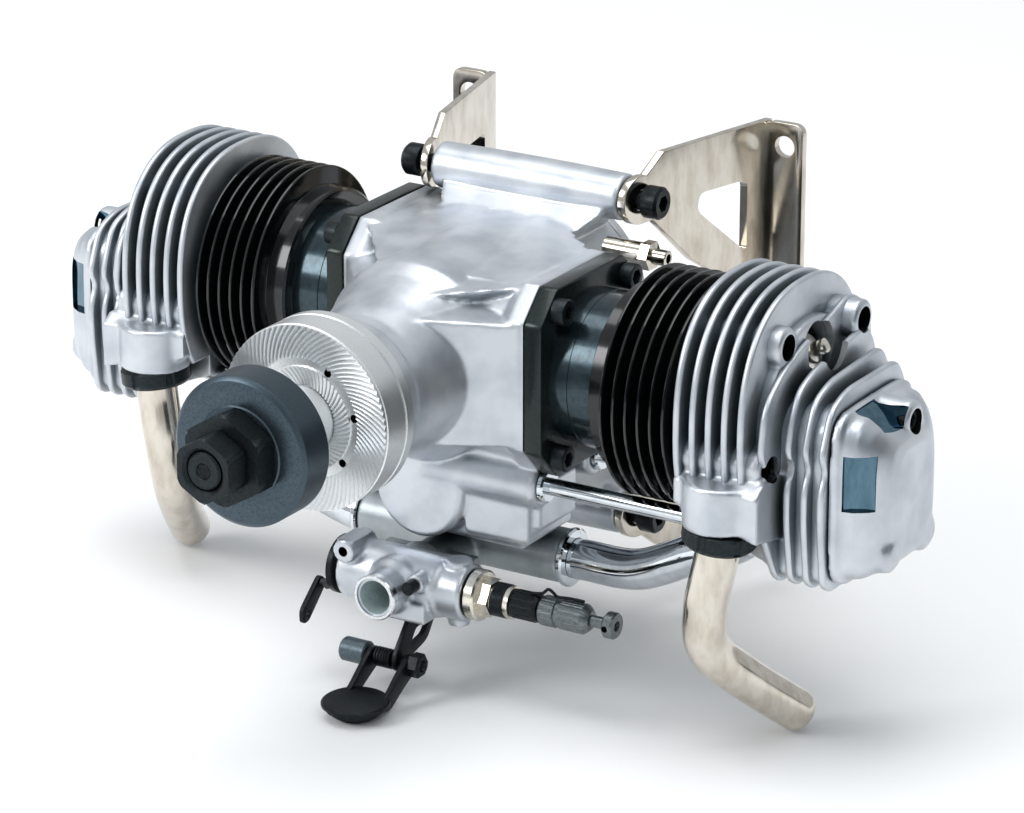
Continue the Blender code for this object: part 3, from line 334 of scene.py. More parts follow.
def cast_metal(name, light, shade, roughness, grain):
    """Bead-blasted cast aluminium: a matt skin of tiny dents and faint cloudy patches some 8 mm across, with
    painted shade: an ambient occlusion node darkens the recesses to teal-grey. Grain is the dents' spacing in
    millimetres."""
    made = bpy.data.materials.new(name)
    made.use_nodes = True
    shader = made.node_tree.nodes["Principled BSDF"]
    place = add(made, "TexCoord").outputs["Object"]
    clouds = add(made, "TexNoise", values={"Scale": 1000 / 8, "Detail": 3.0}, links={"Vector": place})
    dents = add(made, "TexNoise", values={"Scale": 1000 / grain, "Detail": 2.0, "Roughness": 0.6},
                links={"Vector": place})
    patch = add(made, "ValToRGB", links={"Fac": clouds.outputs["Fac"]})
    patch.color_ramp.elements[0].position, patch.color_ramp.elements[0].color = 0.3, linear(shade)
    patch.color_ramp.elements[1].position, patch.color_ramp.elements[1].color = 0.62, linear(light)
    # Painted shade: ambient occlusion darkens recesses and the gaps between fins towards teal-grey #4a6067.
    painted_shade_occlusion = add(made, "AmbientOcclusion", {"samples": 6}, {"Distance": 0.007})
    painted_shade_ramp = add(made, "ValToRGB", links={"Fac": painted_shade_occlusion.outputs["AO"]})
    painted_shade_ramp.color_ramp.elements[0].position, painted_shade_ramp.color_ramp.elements[0].color = 0.12, linear("#4a6067")
    painted_shade_ramp.color_ramp.elements[1].position, painted_shade_ramp.color_ramp.elements[1].color = 0.7, linear("#ffffff")
    mixed = add(made, "Mix", {"data_type": "RGBA", "blend_type": "MULTIPLY"}, {"Factor": 1.0})
    made.node_tree.links.new(patch.outputs["Color"], mixed.inputs[6])
    made.node_tree.links.new(painted_shade_ramp.outputs["Color"], mixed.inputs[7])
    gloss = add(made, "MapRange", values={"To Min": roughness - 0.06, "To Max": roughness + 0.08},
                links={"Value": clouds.outputs["Fac"]})
    bump = add(made, "Bump", values={"Strength": 0.35, "Distance": 0.00006},
               links={"Height": dents.outputs["Fac"]})
    shader.inputs["Metallic"].default_value = 0.82
    made.node_tree.links.new(mixed.outputs[2], shader.inputs["Base Color"])
    made.node_tree.links.new(gloss.outputs["Result"], shader.inputs["Roughness"])
    made.node_tree.links.new(bump.outputs["Normal"], shader.inputs["Normal"])
    return made


def worked_metal(name, light, shade, roughness, pitch, stretch=(1, 1, 1), metallic=1.0, depth=0.00002,
                 coat=0.0):
    """Machined, drawn or plated metal: fine marks the given pitch apart, longer along the axes whose
    stretch is below 1, which vary the colour, the gloss and the height a little."""
    made = bpy.data.materials.new(name)
    made.use_nodes = True
    shader = made.node_tree.nodes["Principled BSDF"]
    place = add(made, "TexCoord").outputs["Object"]
    spread = add(made, "Mapping", values={"Scale": stretch}, links={"Vector": place})
    marks = add(made, "TexNoise", values={"Scale": 1000 / pitch, "Detail": 3.0, "Roughness": 0.6},
                links={"Vector": spread.outputs["Vector"]})
    smears = add(made, "TexNoise", values={"Scale": 1000 / 9, "Detail": 2.0}, links={"Vector": place})
    tint = add(made, "ValToRGB", links={"Fac": marks.outputs["Fac"]})
    tint.color_ramp.elements[0].position, tint.color_ramp.elements[0].color = 0.25, linear(shade)
    tint.color_ramp.elements[1].position, tint.color_ramp.elements[1].color = 0.6, linear(light)
    gloss = add(made, "MapRange", values={"To Min": roughness * 0.7, "To Max": roughness * 1.35},
                links={"Value": smears.outputs["Fac"]})
    bump = add(made, "Bump", values={"Strength": 0.3, "Distance": depth},
               links={"Height": marks.outputs["Fac"]})
    shader.inputs["Metallic"].default_value = metallic
    shader.inputs["Coat Weight"].default_value = coat
    shader.inputs["Coat Roughness"].default_value = 0.08
    made.node_tree.links.new(tint.outputs["Color"], shader.inputs["Base Color"])
    made.node_tree.links.new(gloss.outputs["Result"], shader.inputs["Roughness"])
    made.node_tree.links.new(bump.outputs["Normal"], shader.inputs["Normal"])
    return made


# Cast aluminium, bead-blasted: pale and matt, with soft highlights, and painted shade that makes the hollows
# darker and bluer.
blasted_aluminium = cast_metal("bead_blasted_cast_aluminium", "#d3d7dc", "#bac0c8", 0.38, 0.45)
# Face-milled aluminium: bright, with fine marks that run along Y.
milled_aluminium = worked_metal("face_milled_aluminium", "#e6e8ea", "#c8ccd0", 0.24, 0.5, (1, 0.15, 1))
# Deep holes and sockets: painted shade, a near-black steel finish laid on the walls of holes so that they read
# dark.
hole_painted_shade = worked_metal("painted_shade_in_holes", "#2b2f31", "#15181a", 0.45, 0.5)

SEAT_X, SEAT_Y, SEAT_Z, SEAT_CUT = 28.0, 19.6, 20.2, 6.5
SLEEVE_Y, UPPER_SLEEVE_Z, LOWER_SLEEVE_Z = -39.6, 26.1, -44.0
CAM_Z, TUNNEL_Z, TUNNEL_R = -23.5, -28.6, 10.6
PUSHROD_Y = 11.0
CASE_REAR_Y = -31.0
CHAMBER_R, CHAMBER_FRONT_Y, CHAMBER_REAR_Y, LINER_BORE_R = 18.0, -79.5, -43.0, 15.4


def octagon(half_y, half_z, cut, y=0.0, z=0.0):
    """A rectangle with its corners cut off."""
    a, b, c = half_y, half_z, cut
    corners = [(a, -b + c), (a, b - c), (a - c, b), (-a + c, b), (-a, b - c), (-a, -b + c), (-a + c, -b),
               (a - c, -b)]
    return [(y + p, z + q) for p, q in corners]


case_shapes = [
    lathe([(-115.7, 0), (-115.7, 15.0), (-115.1, 15.6), (-109.5, 15.6), (-109.2, 15.2), (-106, 15.4),
           (-98, 17.4), (-91, 19.5), (-87, 21.3), (-84, 21.5), (-33, 21.5), (CASE_REAR_Y, 21.5),
           (CASE_REAR_Y, 0)], "Y"),
    lathe([(-86.0, 0), (-86.0, TUNNEL_R - 0.8), (-85.2, TUNNEL_R), (CASE_REAR_Y, TUNNEL_R), (CASE_REAR_Y, 0)],
          "Y", (0, 0, TUNNEL_Z)),
    lathe([(-39.0, 0), (-39.0, 17.4), (-38.2, 18.2), (CASE_REAR_Y, 18.2), (CASE_REAR_Y, 0)], "Y",
          (0, 0, CAM_Z)),
    slab(rounded([(-84, -37), (-66, -37), (-66, -27), (-84, -27)], 1.2), 10, 25.5),
    slab(rounded([(-82, -34), (-67, -34), (-67, -24), (-82, -24)], 1.0), 10, 27.2),
    slab(rounded([(-81, -39.4), (-68, -39.4), (-68, -30), (-81, -30)], 1.0), -9, 22.5),
]
for side_name, side in SIDES.items():
    y = CYLINDER_Y[side_name]
    case_shapes += [
        on_side(loft([(2, octagon(SEAT_Y - 1.2, SEAT_Z - 1.2, SEAT_CUT, y)),
                      (22, octagon(SEAT_Y - 1.0, SEAT_Z - 1.0, SEAT_CUT, y)),
                      (24.5, octagon(SEAT_Y, SEAT_Z, SEAT_CUT, y)),
                      (SEAT_X, octagon(SEAT_Y, SEAT_Z, SEAT_CUT, y))]), side),
        on_side(hull([(0, -106, 15), (0, -106, -12)]
                     + [(SEAT_X - 0.4, y + a, b) for a in (-SEAT_Y + 0.6, 4) for b in (-13, 13)]
                     + [(4, y + 6, b) for b in (-19, 19)]), side),
        on_side(hull([(0, -98, 16.5), (6, -44, 22.0), (SEAT_X - 1, y - 12, 19.4), (SEAT_X - 1, y + 12, 19.4),
                      (0, y + 14, 10), (0, -90, 8)]), side)]
    for offset in (-PUSHROD_Y, PUSHROD_Y):
        case_shapes += [
            on_side(lathe([(1, 0), (1, 5.0), (27.2, 5.0), (28.0, 4.3), (28.0, 0)], "X",
                          (0, y + offset, CAM_Z), 64), side),
            on_side(block((0, y + offset - 2.6, CAM_Z), (23.5, y + offset + 2.6, -14)), side)]
for z, foot in ((UPPER_SLEEVE_Z, 14.0), (LOWER_SLEEVE_Z, -30.0)):
    lean = 1 if z > 0 else -1
    case_shapes += [
        lathe([(-23.0, 0), (-23.0, 4.6), (-22.6, 5.0), (-8, 5.25), (8, 5.25), (22.6, 5.0), (23.0, 4.6),
               (23.0, 0)], "X", (0, SLEEVE_Y, z), 72),
        hull([(x, y, z - lean * 1.5) for x in (-20.5, 20.5) for y in (SLEEVE_Y - 4, SLEEVE_Y + 3.8)]
             + [(x, y, foot) for x in (-11, 11) for y in (SLEEVE_Y - 22, CASE_REAR_Y)])]
crankcase = fused("crankcase_casting", case_shapes, blasted_aluminium, 0.5, 3)
# The cut walls of the chamber and bores take the painted shade of the holes.
carve(crankcase, [lathe([(CHAMBER_FRONT_Y, 0), (CHAMBER_FRONT_Y, CHAMBER_R), (CHAMBER_REAR_Y, CHAMBER_R),
                         (CHAMBER_REAR_Y, 0)], "Y")]
      + [on_side(lathe([(4, 0), (4, LINER_BORE_R), (31, LINER_BORE_R), (31, 0)], "X"), side,
                 CYLINDER_Y[side_name])
         for side_name, side in SIDES.items()], hole_painted_shade, 60)
fit(crankcase, "case", "cast_aluminium", "crankcase")


# ---- Rear cover ---------------------------------------------------------------------------------
# A thin cast plate that closes the drum and the timing gears, held by seven small socket screws; its
# round boss carries the end of the crank.

def arc(centre, radius, start, turn, count=40):
    """Points along an arc, from a start angle in degrees through a turn."""
    a = np.radians(start + turn * np.arange(count) / (count if abs(turn) == 360 else count - 1))
    return np.stack([centre[0] + radius * np.cos(a), centre[1] + radius * np.sin(a)], 1)


def hexagon(across_flats, sides=96):
    """The radius of a hexagon at each of a number of angles."""
    t = 2 * np.pi * np.arange(sides) / sides
    return across_flats / 2 / np.cos(np.mod(t, np.pi / 3) - np.pi / 6)


def cap_screw(axis, centre, seat, way, head_radius, head_height, sides=48):
    """A socket head cap screw: a drum with a rounded rim and a hexagonal socket, standing on its seat."""
    top, rim, socket = head_height, 0.12 * head_radius, hexagon(1.0 * head_radius, sides)
    rings = [(-0.6, 0), (-0.6, head_radius * 0.55), (0, head_radius * 0.55), (0, head_radius - rim / 2),
             (rim / 2, head_radius), (top - rim, head_radius), (top - rim * 0.3, head_radius - rim * 0.3),
             (top, head_radius - rim), (top, socket * 1.08), (top - 0.25, socket),
             (top - 0.62 * head_height, socket), (top - 0.75 * head_height, 0)]
    return lathe([(seat + way * a, r) for a, r in rings], axis, centre, sides)


# Black oxide on steel: a dull, even black with soft edges of light.
black_oxide = worked_metal("black_oxide_steel", "#202528", "#121416", 0.38, 0.7, metallic=0.75)
# Ground steel: mid grey and glossy.
bright_steel = worked_metal("bright_steel", "#c9ccce", "#a2a6a9", 0.22, 0.5)
cover_y = CASE_REAR_Y + 0.3
outline = np.concatenate([arc((0, 0), 21.3, -18, 216), arc((0, CAM_Z), 18.0, 198, 144)])[:, ::-1]
rear_shapes = [slab(outline, cover_y, cover_y + 2.6, "Y", 0.6),
               lathe([(cover_y - 1, 0), (cover_y - 1, 9.2), (cover_y + 3.6, 9.2), (cover_y + 4.4, 8.4),
                      (cover_y + 4.4, 5.6), (cover_y + 3.6, 5.2), (cover_y + 3.6, 0)], "Y")]
for angle in (0, 60, 120, 180):
    z, x = 17.6 * math.sin(math.radians(angle)), 17.6 * math.cos(math.radians(angle))
    rear_shapes.append(lathe([(cover_y, 0), (cover_y, 3.1), (cover_y + 3.0, 3.1), (cover_y + 3.4, 2.7),
                              (cover_y + 3.4, 0)], "Y", (x, 0, z), 40))
rear_cover = solid("rear_cover_plate", rear_shapes, blasted_aluminium)
fit(rear_cover, "case", "cast_aluminium", "rear_cover")
rear_screws = [cap_screw("Y", (17.6 * math.cos(math.radians(a)), 0, 17.6 * math.sin(math.radians(a))),
                         cover_y + 3.4, 1, 2.0, 1.6) for a in (0, 60, 120, 180)]
rear_screws += [cap_screw("Y", (14.6 * math.cos(math.radians(a)), 0, CAM_Z + 14.6 * math.sin(math.radians(a))),
                          cover_y + 2.6, 1, 2.0, 1.8) for a in (215, 270, 325)]
fit(solid("rear_cover_screws", rear_screws, black_oxide), "case", "black_oxide")


# ---- Driving hub --------------------------------------------------------------------------------
# Turned from aluminium bar and keyed to the shaft. Its face is milled with fine slanting serrations in
# two rings that grip the propeller, and four small holes lie in the groove between them.

def serrated(inner, outer, teeth, lean, depth, face_y, steps=8):
    """A ring whose face rises and falls round the axis as a triangle wave of the given depth, one wave to a
    tooth. Each circle of points is turned further than the one inside it, by lean in all, so the teeth slant."""
    t = 2 * np.pi * np.arange(teeth * 6) / (teeth * 6)
    radius = np.linspace(inner, outer, steps)[:, None]
    turned = t[None] + lean * (radius - inner) / (outer - inner)
    drop = depth * 2 * np.abs(np.mod(teeth * t / (2 * np.pi), 1) - 0.5)
    front = across("Y", face_y + drop, radius * np.cos(turned), radius * np.sin(turned))
    behind = across("Y", face_y + 1.5, outer * np.cos(turned[-1]), outer * np.sin(turned[-1]))
    inside = across("Y", face_y + 1.5, inner * np.cos(t), inner * np.sin(t))
    return np.concatenate([front.reshape(-1, 3), behind, inside]), quads(steps + 2, len(t), True)


HUB_FACE_Y, HUB_REAR_Y, HUB_R, BOSS_R, BOSS_FRONT_Y = -127.8, -116.0, 19.5, 7.1, -141.0
OUTER_RING, INNER_RING = (12.7, 19.3, 84, 0.34, 0.55), (7.3, 10.9, 60, -0.22, 0.4)
HOLE_CIRCLE, HOLE_R = 11.8, 0.85
# Turned aluminium: the tool marks spread the light, so that it stays bright from every side.
turned_aluminium = worked_metal("turned_aluminium", "#eef0f1", "#d3d7da", 0.34, 0.4, (1, 8, 1), metallic=0.9)
hub_body = lathe([(BOSS_FRONT_Y, 4.2), (BOSS_FRONT_Y, BOSS_R - 0.5), (BOSS_FRONT_Y + 0.5, BOSS_R),
                  (HUB_FACE_Y + 0.7, BOSS_R), (HUB_FACE_Y + 0.7, 19.2), (HUB_FACE_Y + 0.9, HUB_R - 0.25),
                  (HUB_FACE_Y + 1.1, HUB_R), (HUB_REAR_Y - 4.6, HUB_R), (HUB_REAR_Y - 4.4, HUB_R - 0.5),
                  (HUB_REAR_Y - 4.0, HUB_R - 0.5), (HUB_REAR_Y - 3.8, HUB_R), (HUB_REAR_Y - 1.5, HUB_R),
                  (HUB_REAR_Y - 0.3, HUB_R - 1.2), (HUB_REAR_Y - 0.3, 9.5), (HUB_REAR_Y - 1.5, 9.5),
                  (HUB_REAR_Y - 1.5, 4.2)], "Y", sides=160)
hub = solid("driving_hub", [hub_body], turned_aluminium, angle=25)
holes = [lathe([(HUB_FACE_Y - 1, 0), (HUB_FACE_Y - 1, HOLE_R), (HUB_FACE_Y + 3, HOLE_R), (HUB_FACE_Y + 3, 0)], "Y",
               (HOLE_CIRCLE * math.cos(math.radians(a)), 0, HOLE_CIRCLE * math.sin(math.radians(a))), 24)
         for a in (62, 10, -42, 190)]
# The hub's small holes are lined with painted shade.
carve(hub, holes, hole_painted_shade, 25)
rings = solid("driving_hub_serrations", [serrated(*OUTER_RING, HUB_FACE_Y), serrated(*INNER_RING, HUB_FACE_Y)],
              turned_aluminium, angle=20)
fit(rings, "crank", "machined_aluminium")
fit(hub, "crank", "machined_aluminium", "drive_hub")


# ---- Propeller washer and nuts ------------------------------------------------------------------
# Mild steel, turned and gas-blued to a slate colour: a thick washer with a small chamfer, the propeller
# nut, and the smaller lock nut with the centre hole of the shaft showing.

# Gas-blued mild steel: slate blue with a low sheen and fine turning marks.
blued_steel = worked_metal("blued_steel", "#4a5760", "#38434b", 0.34, 0.45, (1, 6, 1), metallic=0.85)
# Oil-blackened steel: nearly black, with faint light along the corners.
dark_nut = worked_metal("oil_black_steel", "#2a3134", "#1b2022", 0.40, 0.6, metallic=0.8)


def nut(front, rear, across_flats, bore, sides=96):
    """A chamfered hexagon nut: the hexagon's radius, held within a cone at each end."""
    flats, corner = hexagon(across_flats, sides), across_flats / 2
    rings = [(rear, bore), (rear, np.minimum(flats, corner * 1.08)), (rear - 0.4, flats),
             (front + 0.4, flats), (front, np.minimum(flats, corner * 1.08)), (front, bore + 0.7),
             (front + 0.7, bore)]
    return lathe(rings, "Y", sides=sides)


WASHER_FRONT_Y, WASHER_R, SHAFT_BORE, SHAFT_R = -150.5, 15.5, 4.2, 3.9
PROP_NUT_FRONT_Y, PROP_NUT_FLATS, LOCK_NUT_FRONT_Y, LOCK_NUT_FLATS = -156.2, 17.0, -162.6, 12.0
washer = lathe([(WASHER_FRONT_Y, SHAFT_BORE), (WASHER_FRONT_Y, 9.4), (WASHER_FRONT_Y + 0.25, 9.7),
                (WASHER_FRONT_Y + 0.25, WASHER_R - 1.1), (WASHER_FRONT_Y + 0.4, WASHER_R - 0.7),
                (WASHER_FRONT_Y + 1.1, WASHER_R), (BOSS_FRONT_Y - 0.9, WASHER_R),
                (BOSS_FRONT_Y - 0.3, WASHER_R - 0.6), (BOSS_FRONT_Y - 0.3, SHAFT_BORE)], "Y", sides=160)
fit(solid("propeller_washer", [washer], blued_steel), "crank", "blued_steel", "prop_washer")
fit(solid("propeller_nut", [nut(PROP_NUT_FRONT_Y, WASHER_FRONT_Y - 0.3, PROP_NUT_FLATS, SHAFT_BORE)],
          dark_nut), "crank", "blued_steel", "prop_nut")
fit(solid("lock_nut_hexagon", [nut(LOCK_NUT_FRONT_Y, -156.5, LOCK_NUT_FLATS, SHAFT_BORE)], dark_nut), "crank",
    "blued_steel", "lock_nut")
shaft_end = lathe([(-145, 0), (-145, SHAFT_R), (-162.0, SHAFT_R), (-162.4, SHAFT_R - 0.4), (-162.4, 1.7),
                   (-162.1, 1.5), (-162.1, 0)], "Y")
fit(solid("shaft_end", [shaft_end], dark_nut), "crank", "steel")
# The shaft's centre hole is coloured with painted shade.
centre_hole = lathe([(-161.9, 0), (-161.9, 1.5), (-162.3, 1.5), (-162.2, 0.9), (-162.15, 0)], "Y")
fit(solid("shaft_centre_hole", [centre_hole], hole_painted_shade), "crank", "steel")


# ---- Cylinders ----------------------------------------------------------------------------------
# Steel barrels turned with six thin fins, then blackened and polished; the foot flange is a milled
# octagon bolted to the crankcase seat with four socket screws.

# Blackened and polished steel: deep black fins with thin sharp highlights.
gloss_black = worked_metal("polished_black_steel", "#0e1113", "#060708", 0.16, 1.2, metallic=0.55, coat=0.6)
# The same black on a milled face: greener, and less glossy.
black_flange = worked_metal("blackened_milled_steel", "#1d2726", "#131a1a", 0.30, 0.8, metallic=0.6, coat=0.2)
# Steel coloured by its heat treatment: dark blue-grey, with a long bright streak.
smoked_sleeve = worked_metal("smoked_steel_sleeve", "#33434a", "#232f35", 0.20, 1.5, (1, 1, 1), metallic=0.8,
                             coat=0.3)
FIN_X, FIN_PITCH, FIN_R, CORE_R, SLEEVE_R, LINER_R = 48.0, 2.85, 24.0, 19.8, 16.5, 14.2
FOOT_X, FOOT_FACE_X, FOOT_SCREW_Y, FOOT_SCREW_Z = 28.3, 32.3, 13.5, 15.7
for side_name, side in SIDES.items():
    y = CYLINDER_Y[side_name]
    core = [(43.4, SLEEVE_R - 0.4), (43.2, SLEEVE_R), (43.2, CORE_R - 0.5), (43.6, CORE_R)]
    for number in range(6):
        x = FIN_X + number * FIN_PITCH
        core += [(x - 0.3, CORE_R), (x - 0.02, CORE_R + 0.5), (x + 0.12, FIN_R - 0.4),
                 (x + 0.3, FIN_R - 0.08), (x + 0.55, FIN_R), (x + 0.8, FIN_R - 0.08), (x + 0.98, FIN_R - 0.4),
                 (x + 1.12, CORE_R + 0.5), (x + 1.4, CORE_R)]
    core += [(65.5, CORE_R), (65.5, LINER_R), (43.4, LINER_R)]
    barrel = solid("finned_barrel_" + side_name, [on_side(lathe(core, "X", sides=160), side, y)], gloss_black,
                   angle=30)
    fit(barrel, "case", "black_cylinder", "cylinder_" + side_name)
    sleeve = lathe([(21.3, LINER_R), (21.3, SLEEVE_R), (36.4, SLEEVE_R), (36.5, SLEEVE_R - 0.15),
                    (36.8, SLEEVE_R - 0.15), (36.9, SLEEVE_R), (43.6, SLEEVE_R), (43.6, LINER_R)], "X",
                   sides=128)
    fit(solid("cylinder_sleeve_" + side_name, [on_side(sleeve, side, y)], smoked_sleeve), "case",
        "black_cylinder")
    foot = slab(rounded(octagon(SEAT_Y, SEAT_Z, SEAT_CUT), 0.8, 3), FOOT_X, FOOT_FACE_X, "X", 0.3)
    flange = solid("foot_flange_" + side_name, [on_side(foot, side, y)], black_flange)
    carve(flange, [on_side(lathe([(27, 0), (27, LINER_BORE_R), (34, LINER_BORE_R), (34, 0)], "X"), side, y)],
          black_flange)
    fit(flange, "case", "black_cylinder")
    heads = [on_side(cap_screw("X", (0, a, b), FOOT_FACE_X, 1, 2.75, 3.0), side, y)
             for a in (-FOOT_SCREW_Y, FOOT_SCREW_Y) for b in (-FOOT_SCREW_Z, FOOT_SCREW_Z)]
    fit(solid("foot_screws_" + side_name, heads, dark_nut), "case", "steel")


# ---- Cylinder heads -----------------------------------------------------------------------------
# Die-cast aluminium heads: squarish round fins round the plug and four bolt pockets, a rocker box below
# the middle, and a smooth block underneath that carries the exhaust collar and the intake pipe.

def fin_outline(half_y, half_z, low, count=140, power=0.84):
    """A rounded-square outline: a and b times the sine and cosine raised to a power below one, cut off
    flat at the bottom."""
    t = 2 * np.pi * np.arange(count) / count
    y = half_y * np.sign(np.cos(t)) * np.abs(np.cos(t)) ** power
    z = half_z * np.sign(np.sin(t)) * np.abs(np.sin(t)) ** power
    return np.stack([y, np.maximum(z, low)], 1)


def slanted(rings, tilt, end, sides=64):
    """A turned shape on an axis that leans in the plane across Y, measured outwards from its outer end."""
    points, faces = lathe(rings, "X", sides=sides)
    turn = np.array([[math.cos(tilt), 0, -math.sin(tilt)], [0, 1, 0], [math.sin(tilt), 0, math.cos(tilt)]])
    return points @ turn.T + (end[0], 0, end[1]), faces


HEAD_X, FIN_GAP, TALL, HEAD_END = 65.8, 3.6, 5, 96.1
LOW_FINS = ((23.5, 15.5), (19.0, 12.0), (18.5, 10.4), (18.4, 9.2))
BOLT_CIRCLE, BOLT_START = 20.5, 53
EXHAUST_X, EXHAUST_Y = 75.3, -22.2
PLUG_TILT, PLUG_END, PLUG_TIP, PLUG_FLATS = math.radians(29), (84.6, 13.2), (86.7, 14.4), 8.0
bolts = arc((0, 0), BOLT_CIRCLE, BOLT_START, 360, 5)[[0, 1, 2, 4]]
plug_pocket = slanted([(-9.4, 0), (-9.4, 5.2), (14, 5.2), (14, 0)], PLUG_TILT, PLUG_END, 40)
pockets = [lathe([(78.5, 0), (78.5, 2.7), (97, 2.7), (97, 0)], "X", (0, a, b), 40) for a, b in bolts]
# Nickel plate over drawn steel: a warm, bright mirror, clouded in long patches.
nickel = worked_metal("bright_nickel_plate", "#d8d1c6", "#bdb3a5", 0.14, 3.0, (1, 1, 0.4))
# Satin nickel on turned parts: paler, with wider highlights.
plug_nickel = worked_metal("satin_nickel_plate", "#ece7dc", "#d2cabb", 0.24, 1.0)
# Turned brass: pale yellow.
pale_brass = worked_metal("pale_brass", "#d9c496", "#b89c66", 0.22, 0.5)
for side_name, side in SIDES.items():
    y = CYLINDER_Y[side_name]
    fins = []
    for number in range(TALL):
        x = HEAD_X + FIN_GAP * number
        fins.append(slab(fin_outline(25.2, 27.4, -17.4), x, x + 1.45, "X", 0.55))
    for number, (half, top) in enumerate(LOW_FINS):
        x, rear = HEAD_X + FIN_GAP * (TALL + number), max(0, 6.0 - 2.5 * number)
        edge = [(-16.8, -29.8), (-14.0, -31.8), (14.0, -31.8), (16.8, -29.8), (half, -17), (half, -5),
                (half - 2, top + rear - 5), (13, top + rear), (6, top + rear * 0.6), (-8, top),
                (-14.5, top - 2.5), (1.5 - half, top - 8), (-half, -2.5), (2.0 - half, -6), (-half, -10),
                (-half, -17)]
        fins.append(slab(rounded(edge, 5, 6), x, x + 1.5, "X", 0.55))
    fin_set = solid("head_fins_" + side_name, [on_side(f, side, y) for f in fins], blasted_aluminium,
                    angle=50)
    carve(fin_set, [on_side(s, side, y) for s in pockets + [plug_pocket]], blasted_aluminium, 50)
    fit(fin_set, "case", "cast_aluminium")
    body = [lathe([(66.0, 0), (66.0, 19.5), (84.0, 19.5), (84.0, 0)], "X"),
            loft([(66.0, [(-15, -22), (14, -23), (18, -17), (18, -8), (-22, -8), (-25, -10), (-25, -15.2),
                          (-15, -16)]),
                  (86.0, [(-15, -30), (14, -30), (18, -22), (18, -8), (-24, -8), (-27, -10), (-27, -19.8),
                          (-15, -22)])]),
            lathe([(-19.0, 0), (-19.0, 7.2), (-18.6, 7.6), (-9, 7.6), (-9, 0)], "Z",
                  (EXHAUST_X, EXHAUST_Y, 0)),
            slab(rounded([(-15.8, -30.2), (15.8, -30.2), (15.8, 2), (12, 6), (-12, 6), (-15.8, 2)], 3, 6),
                 82.5, HEAD_END, "X", 0.4),
            lathe([(66.5, 0), (66.5, 6.0), (72.0, 6.0), (72.0, 0)], "X", (0, 0, -28), 48)]
    for a, b in bolts:
        body.append(lathe([(67, 0), (67, 4.1), (83.8, 4.1), (84.4, 3.5), (84.4, 0)], "X", (0, a, b), 48))
    body += [lathe([(70, 0), (70, 4.1), (88.0, 4.1), (88.5, 3.5), (88.5, 0)], "X", (0, a, b), 48)
             for a, b in bolts[:1]]
    casting = fused("head_casting_" + side_name, [on_side(s, side, y) for s in body], blasted_aluminium, 0.55,
                    4)
    # The bolt pockets are lined with painted shade.
    carve(casting, [on_side(s, side, y) for s in pockets], hole_painted_shade, 50)
    carve(casting, [on_side(plug_pocket, side, y)], blasted_aluminium, 50)
    fit(casting, "case", "cast_aluminium", "head_" + side_name)
    screws = [on_side(cap_screw("X", (0, a, b), 79.6, 1, 2.45, 2.6), side, y) for a, b in bolts]
    fit(solid("head_screws_" + side_name, screws, dark_nut), "case", "black_oxide")
    plug = slanted([(-17, 0), (-17, 2.9), (-9.2, 2.9), (-9.2, 4.6), (-8.9, hexagon(PLUG_FLATS, 64)),
                    (-5.2, hexagon(PLUG_FLATS, 64)), (-4.8, 3.9), (-4.2, 3.7), (-4.2, 2.6), (-3.4, 2.4),
                    (-3.2, 1.5), (-1.6, 1.5), (-1.4, 1.15), (-1.0, 1.15), (-0.8, 1.6), (-0.3, 1.5), (0, 1.0),
                    (0, 0)], PLUG_TILT, PLUG_TIP)
    fit(solid("glow_plug_body_" + side_name, [on_side(plug, side, y)], plug_nickel), "case", "nickel_plate",
        "glow_plug_" + side_name)


# ---- Rocker covers ------------------------------------------------------------------------------
# Thin aluminium castings over the rockers. Two flats near the front upper corner are milled and
# polished like mirrors, and one screw in the end holds the cover down.

def soft_box(half_y, half_z, y, z, power=0.55, count=120):
    """A rounded rectangle: half sizes times the cosine and sine raised to a power well below one."""
    t = 2 * np.pi * np.arange(count) / count
    return np.stack([y + half_y * np.sign(np.cos(t)) * np.abs(np.cos(t)) ** power,
                     z + half_z * np.sign(np.sin(t)) * np.abs(np.sin(t)) ** power], 1)
